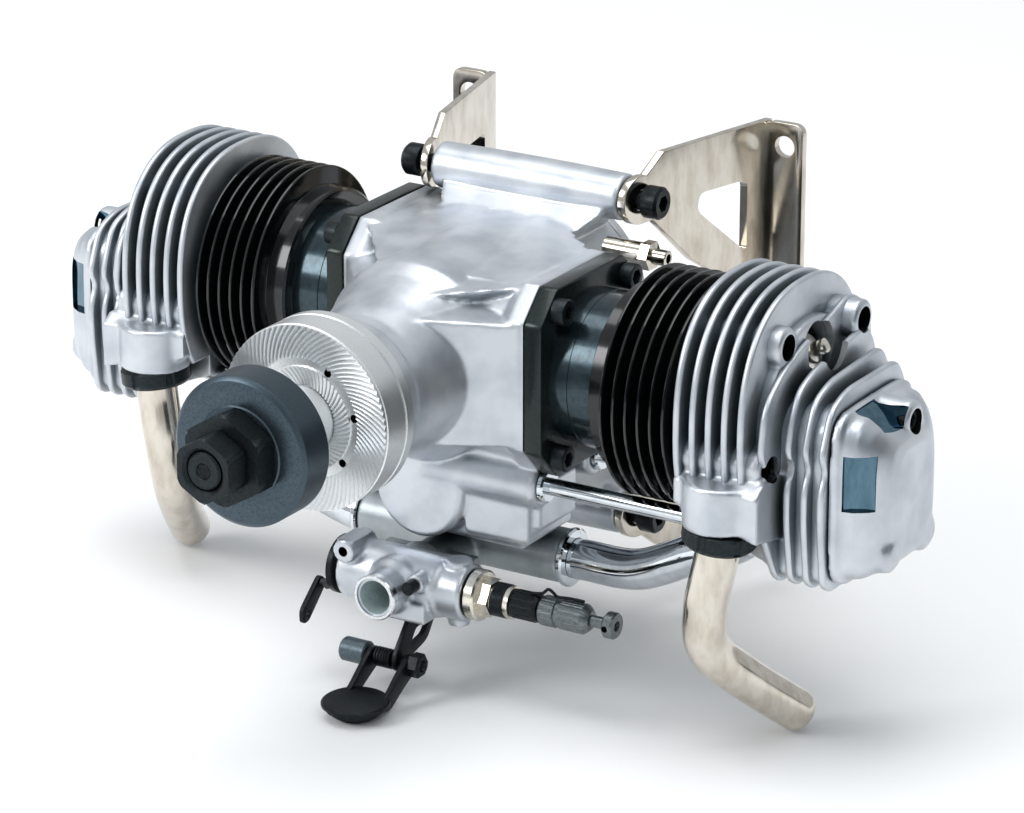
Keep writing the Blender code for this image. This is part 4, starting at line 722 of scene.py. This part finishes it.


# Milled and polished aluminium: a mirror whose base colour is a painted reflection, steel blue for the dark side
# of the room.
flat_painted_reflection = worked_metal("polished_milled_flat", "#5d7b8b", "#46626f", 0.10, 2.0, (1, 1, 0.3))
COVER_SCREW, COVER_SCREW_SEAT_X = (0, 1.5, 1.5), 103.0
for side_name, side in SIDES.items():
    y = CYLINDER_Y[side_name]
    shape = [loft([(96.4, soft_box(16.6, 18.4, 0, -12.4, 0.34)), (98.0, soft_box(16.6, 18.4, 0, -12.4, 0.34)),
                   (98.5, soft_box(15.7, 17.5, 0, -12.4, 0.36)), (101, soft_box(15.2, 17.1, 0, -12.4, 0.38)),
                   (103.4, soft_box(13.6, 15.7, 0, -12.6, 0.42)),
                   (105.2, soft_box(11.6, 14.2, 0, -12.9, 0.46)), (106.4, soft_box(9.6, 12.6, 0, -13.2, 0.5)),
                   (107.0, soft_box(7.6, 10.8, 0, -13.4, 0.6))])]
    for a in (-7.2, 7.2):
        shape.append(lathe([(97, 0), (97, 4.0), (104.6, 4.4), (106.0, 4.0), (107.0, 2.4), (107.2, 0)], "X",
                           (0, a, -23.6), 48))
    shape.append(lathe([(97, 0), (97, 4.2), (105.2, 4.2), (106.0, 3.4), (106.0, 0)], "X", COVER_SCREW, 48))
    cover = fused("rocker_cover_cap_" + side_name, [on_side(s, side, y) for s in shape], blasted_aluminium,
                  0.5, 4)
    front_flat = hull([(x, b, z) for x, deep in ((98.9, -14.9), (104.6, -11.6)) for b in (-30, deep)
                       for z in (-13.5, -2.0)])
    top_flat = hull([(x, b, z) for x, deep, sides in ((98.2, 5.2, (-9.6, -1.6)), (105.4, 1.1, (-8.2, -0.4)))
                     for b in sides for z in (deep, 20)])
    carve(cover, [on_side(front_flat, side, y), on_side(top_flat, side, y)], flat_painted_reflection, 45)
    # The cover screw's pocket is lined with painted shade.
    carve(cover, [on_side(lathe([(COVER_SCREW_SEAT_X, 0), (COVER_SCREW_SEAT_X, 2.6), (120, 2.6), (120, 0)],
                                "X", COVER_SCREW, 40), side, y)], hole_painted_shade, 45)
    fit(cover, "case", "cast_aluminium", "rocker_cover_" + side_name)
    screw = cap_screw("X", COVER_SCREW, COVER_SCREW_SEAT_X, 1, 2.3, 2.2)
    fit(solid("cover_screw_" + side_name, [on_side(screw, side, y)], dark_nut), "case", "black_oxide")


# ---- Pushrod tubes ------------------------------------------------------------------------------
# Thin polished tubes pressed into the tappet bosses and the heads, with a small gland ring at the case.

def swept(path, radius, bore, sides=48, lip=0.25):
    """A bent tube: circles square to the path, carried without twist, with a rounded lip at each end; the
    inner wall runs back along the same path so that the skin closes on itself."""
    path = np.array(path, float)
    tangent = np.gradient(path, axis=0)
    tangent /= np.linalg.norm(tangent, axis=1)[:, None]
    first = np.cross(tangent[0], (0.31, 0.52, 0.79))
    frames = []
    for direction in tangent:
        first = first - direction * np.dot(first, direction)
        first /= np.linalg.norm(first)
        frames.append((first, np.cross(direction, first)))
    frames = np.array(frames)
    t = 2 * np.pi * np.arange(sides) / sides
    ring = np.cos(t)[None, :, None] * frames[:, 0, None] + np.sin(t)[None, :, None] * frames[:, 1, None]
    outer_radius = np.full(len(path), radius, float)
    inner_radius = np.full(len(path), bore, float)
    outer_radius[[0, -1]] -= lip
    inner_radius[[0, -1]] += lip
    start, end = path[[0]] - tangent[[0]] * lip, path[[-1]] + tangent[[-1]] * lip
    outer = path[:, None] + outer_radius[:, None, None] * ring
    outer[1:-1] = path[1:-1, None] + radius * ring[1:-1]
    inner = path[:, None] + inner_radius[:, None, None] * ring
    middle = (radius + bore) / 2
    rows = np.concatenate([(start + middle * ring[0])[None], outer, (end + middle * ring[-1])[None],
                           inner[::-1]])
    return rows.reshape(-1, 3), quads(len(rows), sides, True)


def smooth_path(corners, step):
    """Points a step apart on a Catmull-Rom curve through the corners."""
    corners = np.array(corners, float)
    padded = np.vstack([2 * corners[0] - corners[1], corners, 2 * corners[-1] - corners[-2]])
    path = [corners[:1]]
    for a, b, c, d in zip(padded, padded[1:], padded[2:], padded[3:]):
        count = max(2, round(np.linalg.norm(c - b) / step))
        t = (np.arange(1, count + 1) / count)[:, None]
        path.append(0.5 * (2 * b + (c - a) * t + (2 * a - 5 * b + 4 * c - d) * t ** 2
                           + (3 * b - a - 3 * c + d) * t ** 3))
    return np.concatenate(path)


# Chrome plate: a cold, nearly perfect mirror.
chrome = worked_metal("polished_chrome", "#dfe4e8", "#c9d0d6", 0.05, 2.5)
for side_name, side in SIDES.items():
    for place, sign in (("front", -1), ("rear", 1)):
        y = CYLINDER_Y[side_name] + sign * PUSHROD_Y
        tube = [lathe([(22.0, 1.4), (22.0, 1.8), (67.9, 1.8), (67.9, 1.4)], "X", (0, 0, CAM_Z), 40),
                lathe([(27.9, 1.82), (27.9, 3.3), (28.3, 3.6), (29.1, 3.6), (29.5, 3.2), (29.5, 1.82)], "X",
                      (0, 0, CAM_Z), 48),
                lathe([(64.2, 1.82), (64.2, 2.7), (65.9, 2.7), (65.9, 1.82)], "X", (0, 0, CAM_Z), 40)]
        made = solid("pushrod_tube_polished_" + side_name + "_" + place, [on_side(s, side, y) for s in tube],
                     chrome)
        fit(made, "case", "chrome", "pushrod_tube_" + side_name + "_" + place)


# ---- Exhausts -----------------------------------------------------------------------------------
# Two drawn steel pipes, bent hot and nickel plated, each held up to its head by a black ring nut with
# spanner slots.

NUT_LEAN, NUT_Z, NUT_R, SLOT_DEPTH, SLOTS = math.radians(7), -20.7, 7.6, 0.55, 6
PIPE_R, PIPE_BORE = 4.5, 3.8
for side_name, side in SIDES.items():
    y = CYLINDER_Y[side_name]
    route = [(EXHAUST_X, 0, -19.4), (EXHAUST_X - 0.6, -0.2, -26), (EXHAUST_X - 2.6, -0.6, -37),
             (EXHAUST_X - 2.8, 1.6, -46.5), (EXHAUST_X + 1.2, 9.5, -55.0), (EXHAUST_X + 7.3, 21.6, -65.4)]
    path = smooth_path([(x, EXHAUST_Y + b, z) for x, b, z in route], 0.8)
    pipe = solid("exhaust_bend_" + side_name, [on_side(swept(path, PIPE_R, PIPE_BORE, 64), side, y)], nickel)
    fit(pipe, "case", "nickel_plate", "exhaust_pipe_" + side_name)
    t = 2 * np.pi * np.arange(144) / 144
    slots = NUT_R - SLOT_DEPTH * (np.abs(np.mod(SLOTS * t / (2 * np.pi), 1) - 0.5) < 0.09)
    points, faces = lathe([(-2.2, 5.2), (-2.2, 6.9), (-1.8, 7.3), (-1.4, slots), (1.3, slots), (1.7, 7.3),
                           (1.9, 6.9), (1.9, 5.2)], "Z", sides=144)
    turn = np.array([[math.cos(NUT_LEAN), 0, math.sin(NUT_LEAN)], [0, 1, 0],
                     [-math.sin(NUT_LEAN), 0, math.cos(NUT_LEAN)]])
    ring = points @ turn.T + (EXHAUST_X, EXHAUST_Y, NUT_Z), faces
    fit(solid("exhaust_ring_nut_" + side_name, [on_side(ring, side, y)], dark_nut, angle=30), "case",
        "black_oxide", "exhaust_nut_" + side_name)


# ---- Intake manifold and pipes ------------------------------------------------------------------
# A cast cross tube under the case feeds two chromed steel pipes, one bent out to each head. A rolled
# collar seals each pipe in the tube's end.

MANIFOLD_Y, MANIFOLD_Z, CARB_Y, CARB_Z = -66.0, -45.2, -90.0, -47.0
INTAKE_R, INTAKE_BORE = 4.3, 3.6
# Tumbled cast aluminium: greyer and flatter than the bead-blasted castings, with the same painted shade in its
# hollows.
plain_cast = cast_metal("tumbled_cast_aluminium", "#b4babd", "#979fa3", 0.42, 0.6)
manifold = fused("intake_cross_tube", [
    lathe([(-25, 0), (-25, 5.3), (-24.5, 5.8), (24.5, 5.8), (25, 5.3), (25, 0)], "X",
          (0, MANIFOLD_Y, MANIFOLD_Z)),
    lathe([(CARB_Y + 7.4, 0), (CARB_Y + 7.4, 5.2), (MANIFOLD_Y, 5.6), (MANIFOLD_Y, 0)], "Y", (0, 0, CARB_Z)),
    block((-8, MANIFOLD_Y - 5, -46), (8, MANIFOLD_Y + 5, -39.8)),
    block((-11, -81.6, -50.5), (11, -79.4, -43.5))], plain_cast, 0.5, 3)
# The bore of the cross tube is lined with painted shade.
carve(manifold, [lathe([(-30, 0), (-30, 4.8), (30, 4.8), (30, 0)], "X", (0, MANIFOLD_Y, MANIFOLD_Z), 48)],
      hole_painted_shade, 45)
fit(manifold, "case", "cast_aluminium", "intake_manifold")
fit(solid("manifold_screws", [cap_screw("Y", (x, 0, CARB_Z), -81.6, -1, 1.6, 1.4) for x in (-8.6, 8.6)],
          dark_nut), "case", "black_oxide")
for side_name, side in SIDES.items():
    y = CYLINDER_Y[side_name]
    route = [(17.0, MANIFOLD_Y, MANIFOLD_Z), (23.0, MANIFOLD_Y, MANIFOLD_Z), (29.0, MANIFOLD_Y, MANIFOLD_Z),
             (43.0, 0.65 * MANIFOLD_Y + 0.35 * y, MANIFOLD_Z + 1.5),
             (58.0, 0.2 * MANIFOLD_Y + 0.8 * y, -36.0), (66.0, y, -32.5), (70.6, y, -28.5), (71.5, y, -21.5)]
    pipe = [swept(smooth_path(route, 0.8), INTAKE_R, INTAKE_BORE, 64),
            lathe([(24.9, 4.35), (24.9, 6.0), (25.2, 6.3), (25.9, 6.3), (26.3, 5.9), (26.4, 4.35)], "X",
                  (0, MANIFOLD_Y, MANIFOLD_Z), 96)]
    fit(solid("intake_bend_" + side_name, [on_side(s, side) for s in pipe], chrome), "case", "chrome",
        "intake_pipe_" + side_name)


# ---- Carburettor --------------------------------------------------------------------------------
# A small aluminium casting with a crossways barrel throttle: the open mouth faces forward, the throttle
# lever is on the left and the fuel needle, with its knurled thimble and wire clip, on the right.

# Bored aluminium, dulled by fuel: pale teal-grey down the throat.
bored_aluminium = worked_metal("bored_aluminium", "#cfdcdd", "#b3c3c6", 0.45, 0.6, metallic=0.35)
carb_casting = fused("carburettor_casting", [
    lathe([(-14.0, 0), (-14.0, 6.1), (-13.5, 6.6), (9.5, 6.6), (10.5, 6.0), (15.6, 6.0), (16.0, 5.6),
           (16.0, 0)], "X", (0, CARB_Y, CARB_Z)),
    lathe([(-102.6, 0), (-102.6, 4.9), (-97.5, 4.9), (-95.5, 6.2), (-84, 6.2), (-83, 5.4), (-83, 0)], "Y",
          (0, 0, CARB_Z)),
    lathe([(-97.4, 0), (-97.4, 2.5), (-88, 2.5), (-88, 0)], "Y", (-11.2, 0, -41.0), 48),
    block((-13.3, -96.4, -42.2), (-9.2, -89, -38.6)),
    lathe([(-98.2, 0), (-98.2, 2.0), (-90, 2.0), (-90, 0)], "Y", (6.9, 0, -44.3), 48),
    lathe([(-54.5, 0), (-54.5, 2.3), (-40.2, 3.0), (-40.2, 0)], "Z", (12.6, CARB_Y, 0), 48),
    block((-6.5, -97.5, -53.4), (8.5, -85.5, -49))], blasted_aluminium, 0.4, 2)
carve(carb_casting, [
    lathe([(-106, 0), (-106, 4.0), (-102.0, 3.6), (-80, 3.5), (-80, 0)], "Y", (0, 0, CARB_Z), 72),
    lathe([(-20, 0), (-20, 4.5), (9, 4.5), (9, 0)], "X", (0, CARB_Y, CARB_Z), 72)], bored_aluminium, 45)
# The small jet hole is lined with painted shade.
carve(carb_casting, [lathe([(-99, 0), (-99, 1.1), (-93, 1.1), (-93, 0)], "Y", (-11.2, 0, -41.0), 32)],
      hole_painted_shade, 45)
fit(carb_casting, "case", "cast_aluminium", "carburettor_body")
mouth_lip = lathe([(-103.0, 4.2), (-103.0, 4.7), (-102.7, 4.95), (-101.4, 4.95), (-101.4, 4.2)], "Y",
                  (0, 0, CARB_Z), 96)
fit(solid("carburettor_mouth_lip", [mouth_lip], milled_aluminium), "case", "machined_aluminium")
stop_screw = lathe([(-101.2, 0), (-101.2, 1.2), (-100.9, 1.45), (-98.6, 1.45), (-98.3, 1.1), (-96.0, 1.1),
                    (-96.0, 0)], "Y", (6.9, 0, -44.3), 40)
fit(solid("throttle_stop_screw", [stop_screw], black_oxide), "case", "black_oxide")

barrel_shape = lathe([(-16.2, 0), (-16.2, 4.2), (11.0, 4.2), (11.0, 0)], "X", (0, CARB_Y, CARB_Z))
throttle = solid("throttle_barrel", [barrel_shape], bright_steel)
carve(throttle, [lathe([(-100, 0), (-100, 3.3), (-80, 3.3), (-80, 0)], "Y", (0, 0, CARB_Z), 48)],
      bored_aluminium)
fit(throttle, "throttle", "steel", "throttle_barrel")
lever_disc = lathe([(-17.8, 0), (-17.8, 1.6), (-16.8, 1.9), (-16.8, 5.4), (-16.4, 6.3), (-15.2, 6.3),
                    (-14.9, 5.9), (-14.9, 0)], "X", (0, CARB_Y, CARB_Z))
jog = hull([(x, CARB_Y + a, CARB_Z + b)
            for x, a, b in ((-15.4, -3.4, -2.2), (-15.4, -1.0, -5.0), (-16.6, -3.4, -2.2), (-16.6, -1.0, -5.0),
                            (-20.4, -4.4, -3.2), (-20.4, -1.6, -5.6), (-19.2, -4.6, -3.6), (-19.2, -1.8, -6.0))])
arm = slab(rounded([(CARB_Y - 1.2, CARB_Z - 4.2), (CARB_Y - 3.6, CARB_Z - 2.0), (CARB_Y - 10.6, CARB_Z - 8.0),
                    (CARB_Y - 10.4, CARB_Z - 11.0), (CARB_Y - 8.4, CARB_Z - 11.0)], 1.3, 5), -20.4, -19.2,
           "X", 0.25)
lever = solid("throttle_lever_arm", [arm], black_oxide)
carve(lever, [lathe([(-24, 0), (-24, 0.75), (-15, 0.75), (-15, 0)], "X", (0, CARB_Y - 8.6, CARB_Z - 9.2),
                    24)], black_oxide)
fit(lever, "throttle", "black_oxide")
fit(solid("throttle_lever_disc", [lever_disc, jog], black_oxide), "throttle", "black_oxide")

KNURL_SIDES, KNURLS, KNURL_DEPTH, BANJO_FLATS = 192, 32, 0.16, 7.2
fine_knurl = KNURL_DEPTH * np.abs(np.mod(KNURLS * np.arange(KNURL_SIDES) / KNURL_SIDES, 1) - 0.5)
holder = [lathe([(16.4, 1.3), (16.4, 5.0), (16.8, 5.4), (18.6, 5.4), (19.0, 5.0),
                 (19.0, hexagon(BANJO_FLATS, KNURL_SIDES)), (21.6, hexagon(BANJO_FLATS, KNURL_SIDES)),
                 (21.6, 3.1), (22.2, 3.0), (22.2, 1.3)], "X", (0, CARB_Y, CARB_Z), KNURL_SIDES),
          lathe([(24.6, 1.3), (24.6, 3.2), (25.2, 3.5), (26.2, 3.5), (26.4, 1.3)], "X",
                (0, CARB_Y, CARB_Z), 96)]
fit(solid("needle_holder_banjo", holder, plug_nickel), "case", "brass", "needle_holder")
gland = [lathe([(22.0, 1.3), (22.0, 3.6), (24.8, 3.6), (24.8, 1.3)], "X", (0, CARB_Y, CARB_Z), 96),
         lathe([(26.3, 1.3), (26.3, 2.9), (26.6, 3.0 + fine_knurl), (31.8, 3.0 + fine_knurl), (32.5, 2.7),
                (32.5, 1.3)], "X", (0, CARB_Y, CARB_Z), KNURL_SIDES)]
fit(solid("needle_gland", gland, black_oxide, angle=20), "case", "black_oxide")
# Phosphated steel: mid grey, and dull enough to show the knurling.
grey_steel = worked_metal("grey_phosphated_steel", "#7b8183", "#5f6567", 0.36, 0.6)
thimble = [lathe([(12.0, 0), (12.0, 0.5), (32.8, 1.0), (33.0, 2.9), (33.4, 3.1 + fine_knurl),
                  (36.6, 3.1 + fine_knurl), (36.8, 2.8), (37.6, 2.8), (37.8, 3.1 + fine_knurl),
                  (43.0, 3.1 + fine_knurl), (43.8, 2.6), (44.5, 1.9), (44.6, 1.25), (47.9, 1.25), (48.0, 2.4),
                  (48.4, 2.8), (50.0, 2.8), (50.4, 2.5), (50.4, 1.1), (49.2, 0.9), (49.2, 0)],
                 "X", (0, CARB_Y, CARB_Z), KNURL_SIDES)]
needle = solid("needle_thimble", thimble, grey_steel, angle=20)
# The hole in the needle's end is lined with painted shade.
carve(needle, [lathe([(-96, 0), (-96, 0.7), (-84, 0.7), (-84, 0)], "Y", (49.0, 0, CARB_Z), 24)], hole_painted_shade,
      20)
fit(needle, "needle", "steel", "needle_valve")
clip_route = [(30.5, CARB_Y - 0.6, CARB_Z + 3.3), (33.2, CARB_Y - 0.8, CARB_Z + 3.9),
              (34.8, CARB_Y - 1.1, CARB_Z + 5.2), (36.0, CARB_Y - 0.9, CARB_Z + 4.5),
              (36.6, CARB_Y - 0.4, CARB_Z + 3.7), (39.5, CARB_Y, CARB_Z + 3.75),
              (42.6, CARB_Y + 0.2, CARB_Z + 3.7)]
fit(solid("needle_wire_clip", [swept(smooth_path(clip_route, 0.3), 0.33, 0.1, 12, 0.05)], black_oxide),
    "case", "black_oxide")


# ---- Choke --------------------------------------------------------------------------------------
# Black pressed parts: a ribbed round pad on a forked arm that swings up over the mouth on a cross pin,
# with a return spring on the pin and a grey rod connector on its left end. A plate hangs it all from
# the carburettor.

CHOKE_Y, CHOKE_Z = -99.0, -61.7
PAD_X, PAD_Y, PAD_Z, PAD_R, PAD_LEAN = 1.6, -112.6, -66.8, 7.2, math.radians(1)
pad_rings = [(0.9, 0), (0.9, PAD_R - 0.4), (0.6, PAD_R), (0.1, PAD_R), (-0.1, PAD_R - 0.9),
             (-0.9, PAD_R - 0.9), (-1.1, PAD_R - 2.0), (-1.8, PAD_R - 2.0), (-2.0, PAD_R - 3.2),
             (-2.6, PAD_R - 3.2), (-2.8, 0)]
points, faces = lathe(pad_rings, "Z")
turn = np.array([[1, 0, 0], [0, math.cos(PAD_LEAN), -math.sin(PAD_LEAN)],
                 [0, math.sin(PAD_LEAN), math.cos(PAD_LEAN)]])
pad = points @ turn.T + (PAD_X, PAD_Y, PAD_Z), faces
arm_outline = [(1.9, 1.6), (2.3, -1.4), (-4.0, -4.6), (-8.6, -7.4), (-13.6, -6.4), (-13.8, -4.6),
               (-9.6, -4.2), (-4.6, -0.2), (-1.0, 2.2)]
arms = [slab(rounded([(CHOKE_Y + a, CHOKE_Z + b) for a, b in arm_outline], 1.8, 6), x, x + 1.3, "X", 0.25)
        for x in (-3.4, 5.6)]
pin = lathe([(-10.0, 0), (-10.0, 1.2), (8.3, 1.2), (8.5, 1.0), (8.5, 0)], "X", (0, CHOKE_Y, CHOKE_Z), 48)
fit(solid("choke_pad_and_arms", [pad, *arms, pin], black_oxide), "choke", "black_oxide", "choke_flap")
turns = np.linspace(0, 2 * np.pi * 6, 200)
spring = np.stack([-1.8 + 4.0 * turns / turns[-1], CHOKE_Y + 1.75 * np.cos(turns),
                   CHOKE_Z + 1.75 * np.sin(turns)], 1)
fit(solid("choke_return_spring", [swept(spring, 0.36, 0.1, 10, 0.05)], black_oxide), "choke", "black_oxide")
connector = lathe([(-10.0, 1.2), (-10.0, 2.3), (-9.6, 2.6), (-4.2, 2.6), (-3.9, 2.3), (-3.9, 1.2)], "X",
                  (0, CHOKE_Y, CHOKE_Z), 72)
# Grey-painted steel: slate grey with a low sheen.
slate_connector = worked_metal("slate_grey_steel", "#59656c", "#454f56", 0.4, 0.6, metallic=0.7)
fit(solid("choke_rod_connector", [connector], slate_connector), "choke", "steel")
pivot_nut = lathe([(6.9, 0), (6.9, hexagon(4.6, 96)), (9.0, hexagon(4.6, 96)), (9.3, 2.0), (9.3, 1.3),
                   (8.7, 1.0), (8.7, 0)], "X", (0, CHOKE_Y, CHOKE_Z))
hanger_outline = rounded([(-83.5, -52.5), (-95.0, -52.5), (-101.4, -60.2), (-101.0, -63.4), (-98.0, -64.2),
                          (-95.6, -62.0), (-89.0, -60.2)], 1.6, 6)
hanger = solid("choke_hanger_plate", [slab(hanger_outline, 3.0, 4.2, "X", 0.25)], black_oxide)
carve(hanger, [slab(rounded([(-88.0, -56.0), (-93.4, -56.0), (-96.0, -59.6), (-90.4, -58.6)], 0.9, 5), 0, 8,
                    "X", 0.01, 1)], black_oxide)
fit(hanger, "case", "black_oxide")
fit(solid("choke_pivot_nut", [pivot_nut], black_oxide), "choke", "black_oxide")


# ---- Brackets -----------------------------------------------------------------------------------
# Each is one pressed steel plate, nickel plated and bright: a K-shaped side with two windows, bent out
# along the firewall into a flange with two screw holes.

EYE_X, BRACKET_X, BRACKET_THICK, FLANGE_WIDTH, SCREW_HOLE_R = 24.6, 33.8, 1.8, 10.2, 2.35
BRACKET_TOP, BRACKET_BOTTOM, SPINE = 35.2, -53.1, 7.5
HOLE_X, HOLE_Z = 39.6, (30.0, -47.9)
MIDDLE_Z = (UPPER_SLEEVE_Z + LOWER_SLEEVE_Z) / 2


def splayed(shape):
    """A flat side plate leaned outwards: X grows in proportion to the distance from the sleeves."""
    points = shape[0].copy()
    points[:, 0] += EYE_X + (BRACKET_X - EYE_X) * (points[:, 1] - SLEEVE_Y) / -SLEEVE_Y
    return points, shape[1]


upper = np.concatenate([[(-0.1, BRACKET_TOP), (-33.2, BRACKET_TOP)],
                        arc((SLEEVE_Y, UPPER_SLEEVE_Z), 5.3, 75, 205, 28),
                        [(-36.2, 21.0), (-24.3, 9.4), (-SPINE, -1.8)]])
lower = (upper * (1, -1) + (0, 2 * MIDDLE_Z))[::-1]
window = rounded([(-SPINE, 7.0), (-SPINE, 23.4), (-22.2, 23.6), (-22.9, 19.8)], 2.0, 6)
for side_name, side in SIDES.items():
    made = solid("nickel_bracket_" + side_name,
                 [on_side(splayed(slab(np.concatenate([upper, lower]), 0, BRACKET_THICK, "X", 0.2)), side)],
                 nickel, angle=30)
    cuts = [splayed(slab(o, -6, 8, "X", 0.01, 1)) for o in (window, window * (1, -1) + (0, 2 * MIDDLE_Z))]
    cuts += [lathe([(15, 0), (15, SCREW_HOLE_R), (45, SCREW_HOLE_R), (45, 0)], "X", (0, SLEEVE_Y, z), 48)
             for z in (UPPER_SLEEVE_Z, LOWER_SLEEVE_Z)]
    carve(made, [on_side(s, side) for s in cuts], nickel, 30)
    low, high = BRACKET_X + 0.9, BRACKET_X + FLANGE_WIDTH
    corner = rounded([(BRACKET_BOTTOM, low), (BRACKET_BOTTOM, high), (BRACKET_TOP, high), (BRACKET_TOP, low)],
                     2.6, 8)
    flange = solid("nickel_bracket_flange_" + side_name,
                   [on_side(slab(corner, -BRACKET_THICK, 0, "Y", 0.2), side)], nickel, angle=30)
    cuts = [lathe([(-5, 0), (-5, SCREW_HOLE_R), (5, SCREW_HOLE_R), (5, 0)], "Y", (HOLE_X, 0, z), 48)
            for z in HOLE_Z]
    carve(flange, [on_side(s, side) for s in cuts], nickel, 30)
    fit(flange, "case", "nickel_plate")
    bend = lathe([(BRACKET_BOTTOM + 0.3, 0), (BRACKET_BOTTOM + 0.3, 0.9), (BRACKET_TOP - 0.3, 0.9),
                  (BRACKET_TOP - 0.3, 0)], "Z", (BRACKET_X + 0.95, -0.9, 0), 32)
    fit(solid("nickel_bracket_bend_" + side_name, [on_side(bend, side)], nickel), "case", "nickel_plate")
    fit(made, "case", "nickel_plate", "mount_bracket_" + side_name)
    upper_screw = lathe([(14.0, 0), (14.0, 2.0), (27.5, 2.0), (27.5, 3.3), (27.8, 3.5), (30.9, 3.5),
                         (31.5, 3.0), (31.5, hexagon(3.2, 96)), (29.6, hexagon(3.2, 96)), (29.3, 0)], "X",
                        (0, SLEEVE_Y, UPPER_SLEEVE_Z))
    fit(solid("bracket_screw_" + side_name, [on_side(upper_screw, side)], black_oxide), "case", "black_oxide",
        "mount_screw_upper_" + side_name)
    lower_screw = upper_screw[0] + (0, 0, LOWER_SLEEVE_Z - UPPER_SLEEVE_Z), upper_screw[1]
    fit(solid("bracket_screw_lower_" + side_name, [on_side(lower_screw, side)], black_oxide), "case",
        "black_oxide")


# ---- Breather and inner pieces ------------------------------------------------------------------
# A pressed nickel breather nipple stands behind the right cylinder's seat. The sealed pieces inside keep
# their own shapes and get ground steel or bare machined aluminium.

nipple = lathe([(22, 0), (22, 2.5), (30.6, 2.5), (30.9, hexagon(5.6, 96)), (33.0, hexagon(5.6, 96)),
                (33.3, 1.7), (36.4, 1.7), (36.6, 1.4), (36.6, 1.0), (31, 1.0), (31, 0)], "X",
               (0, -46.2, 16.8))
fit(solid("breather_nipple", [nipple], nickel), "case", "nickel_plate")
inner_finish = {"steel": bright_steel, "machined_aluminium": milled_aluminium,
                "cast_aluminium": blasted_aluminium, "blued_steel": dark_nut, "black_oxide": black_oxide,
                "nickel_plate": nickel, "chrome": chrome, "brass": pale_brass, "black_cylinder": gloss_black}
slot_of = {part["node"]: part["material_slot"] for part in frame["record"]["subparts"]}
for node_name, node in frame["nodes"].items():
    node.data.materials.clear()
    node.data.materials.append(inner_finish[slot_of[node_name]])
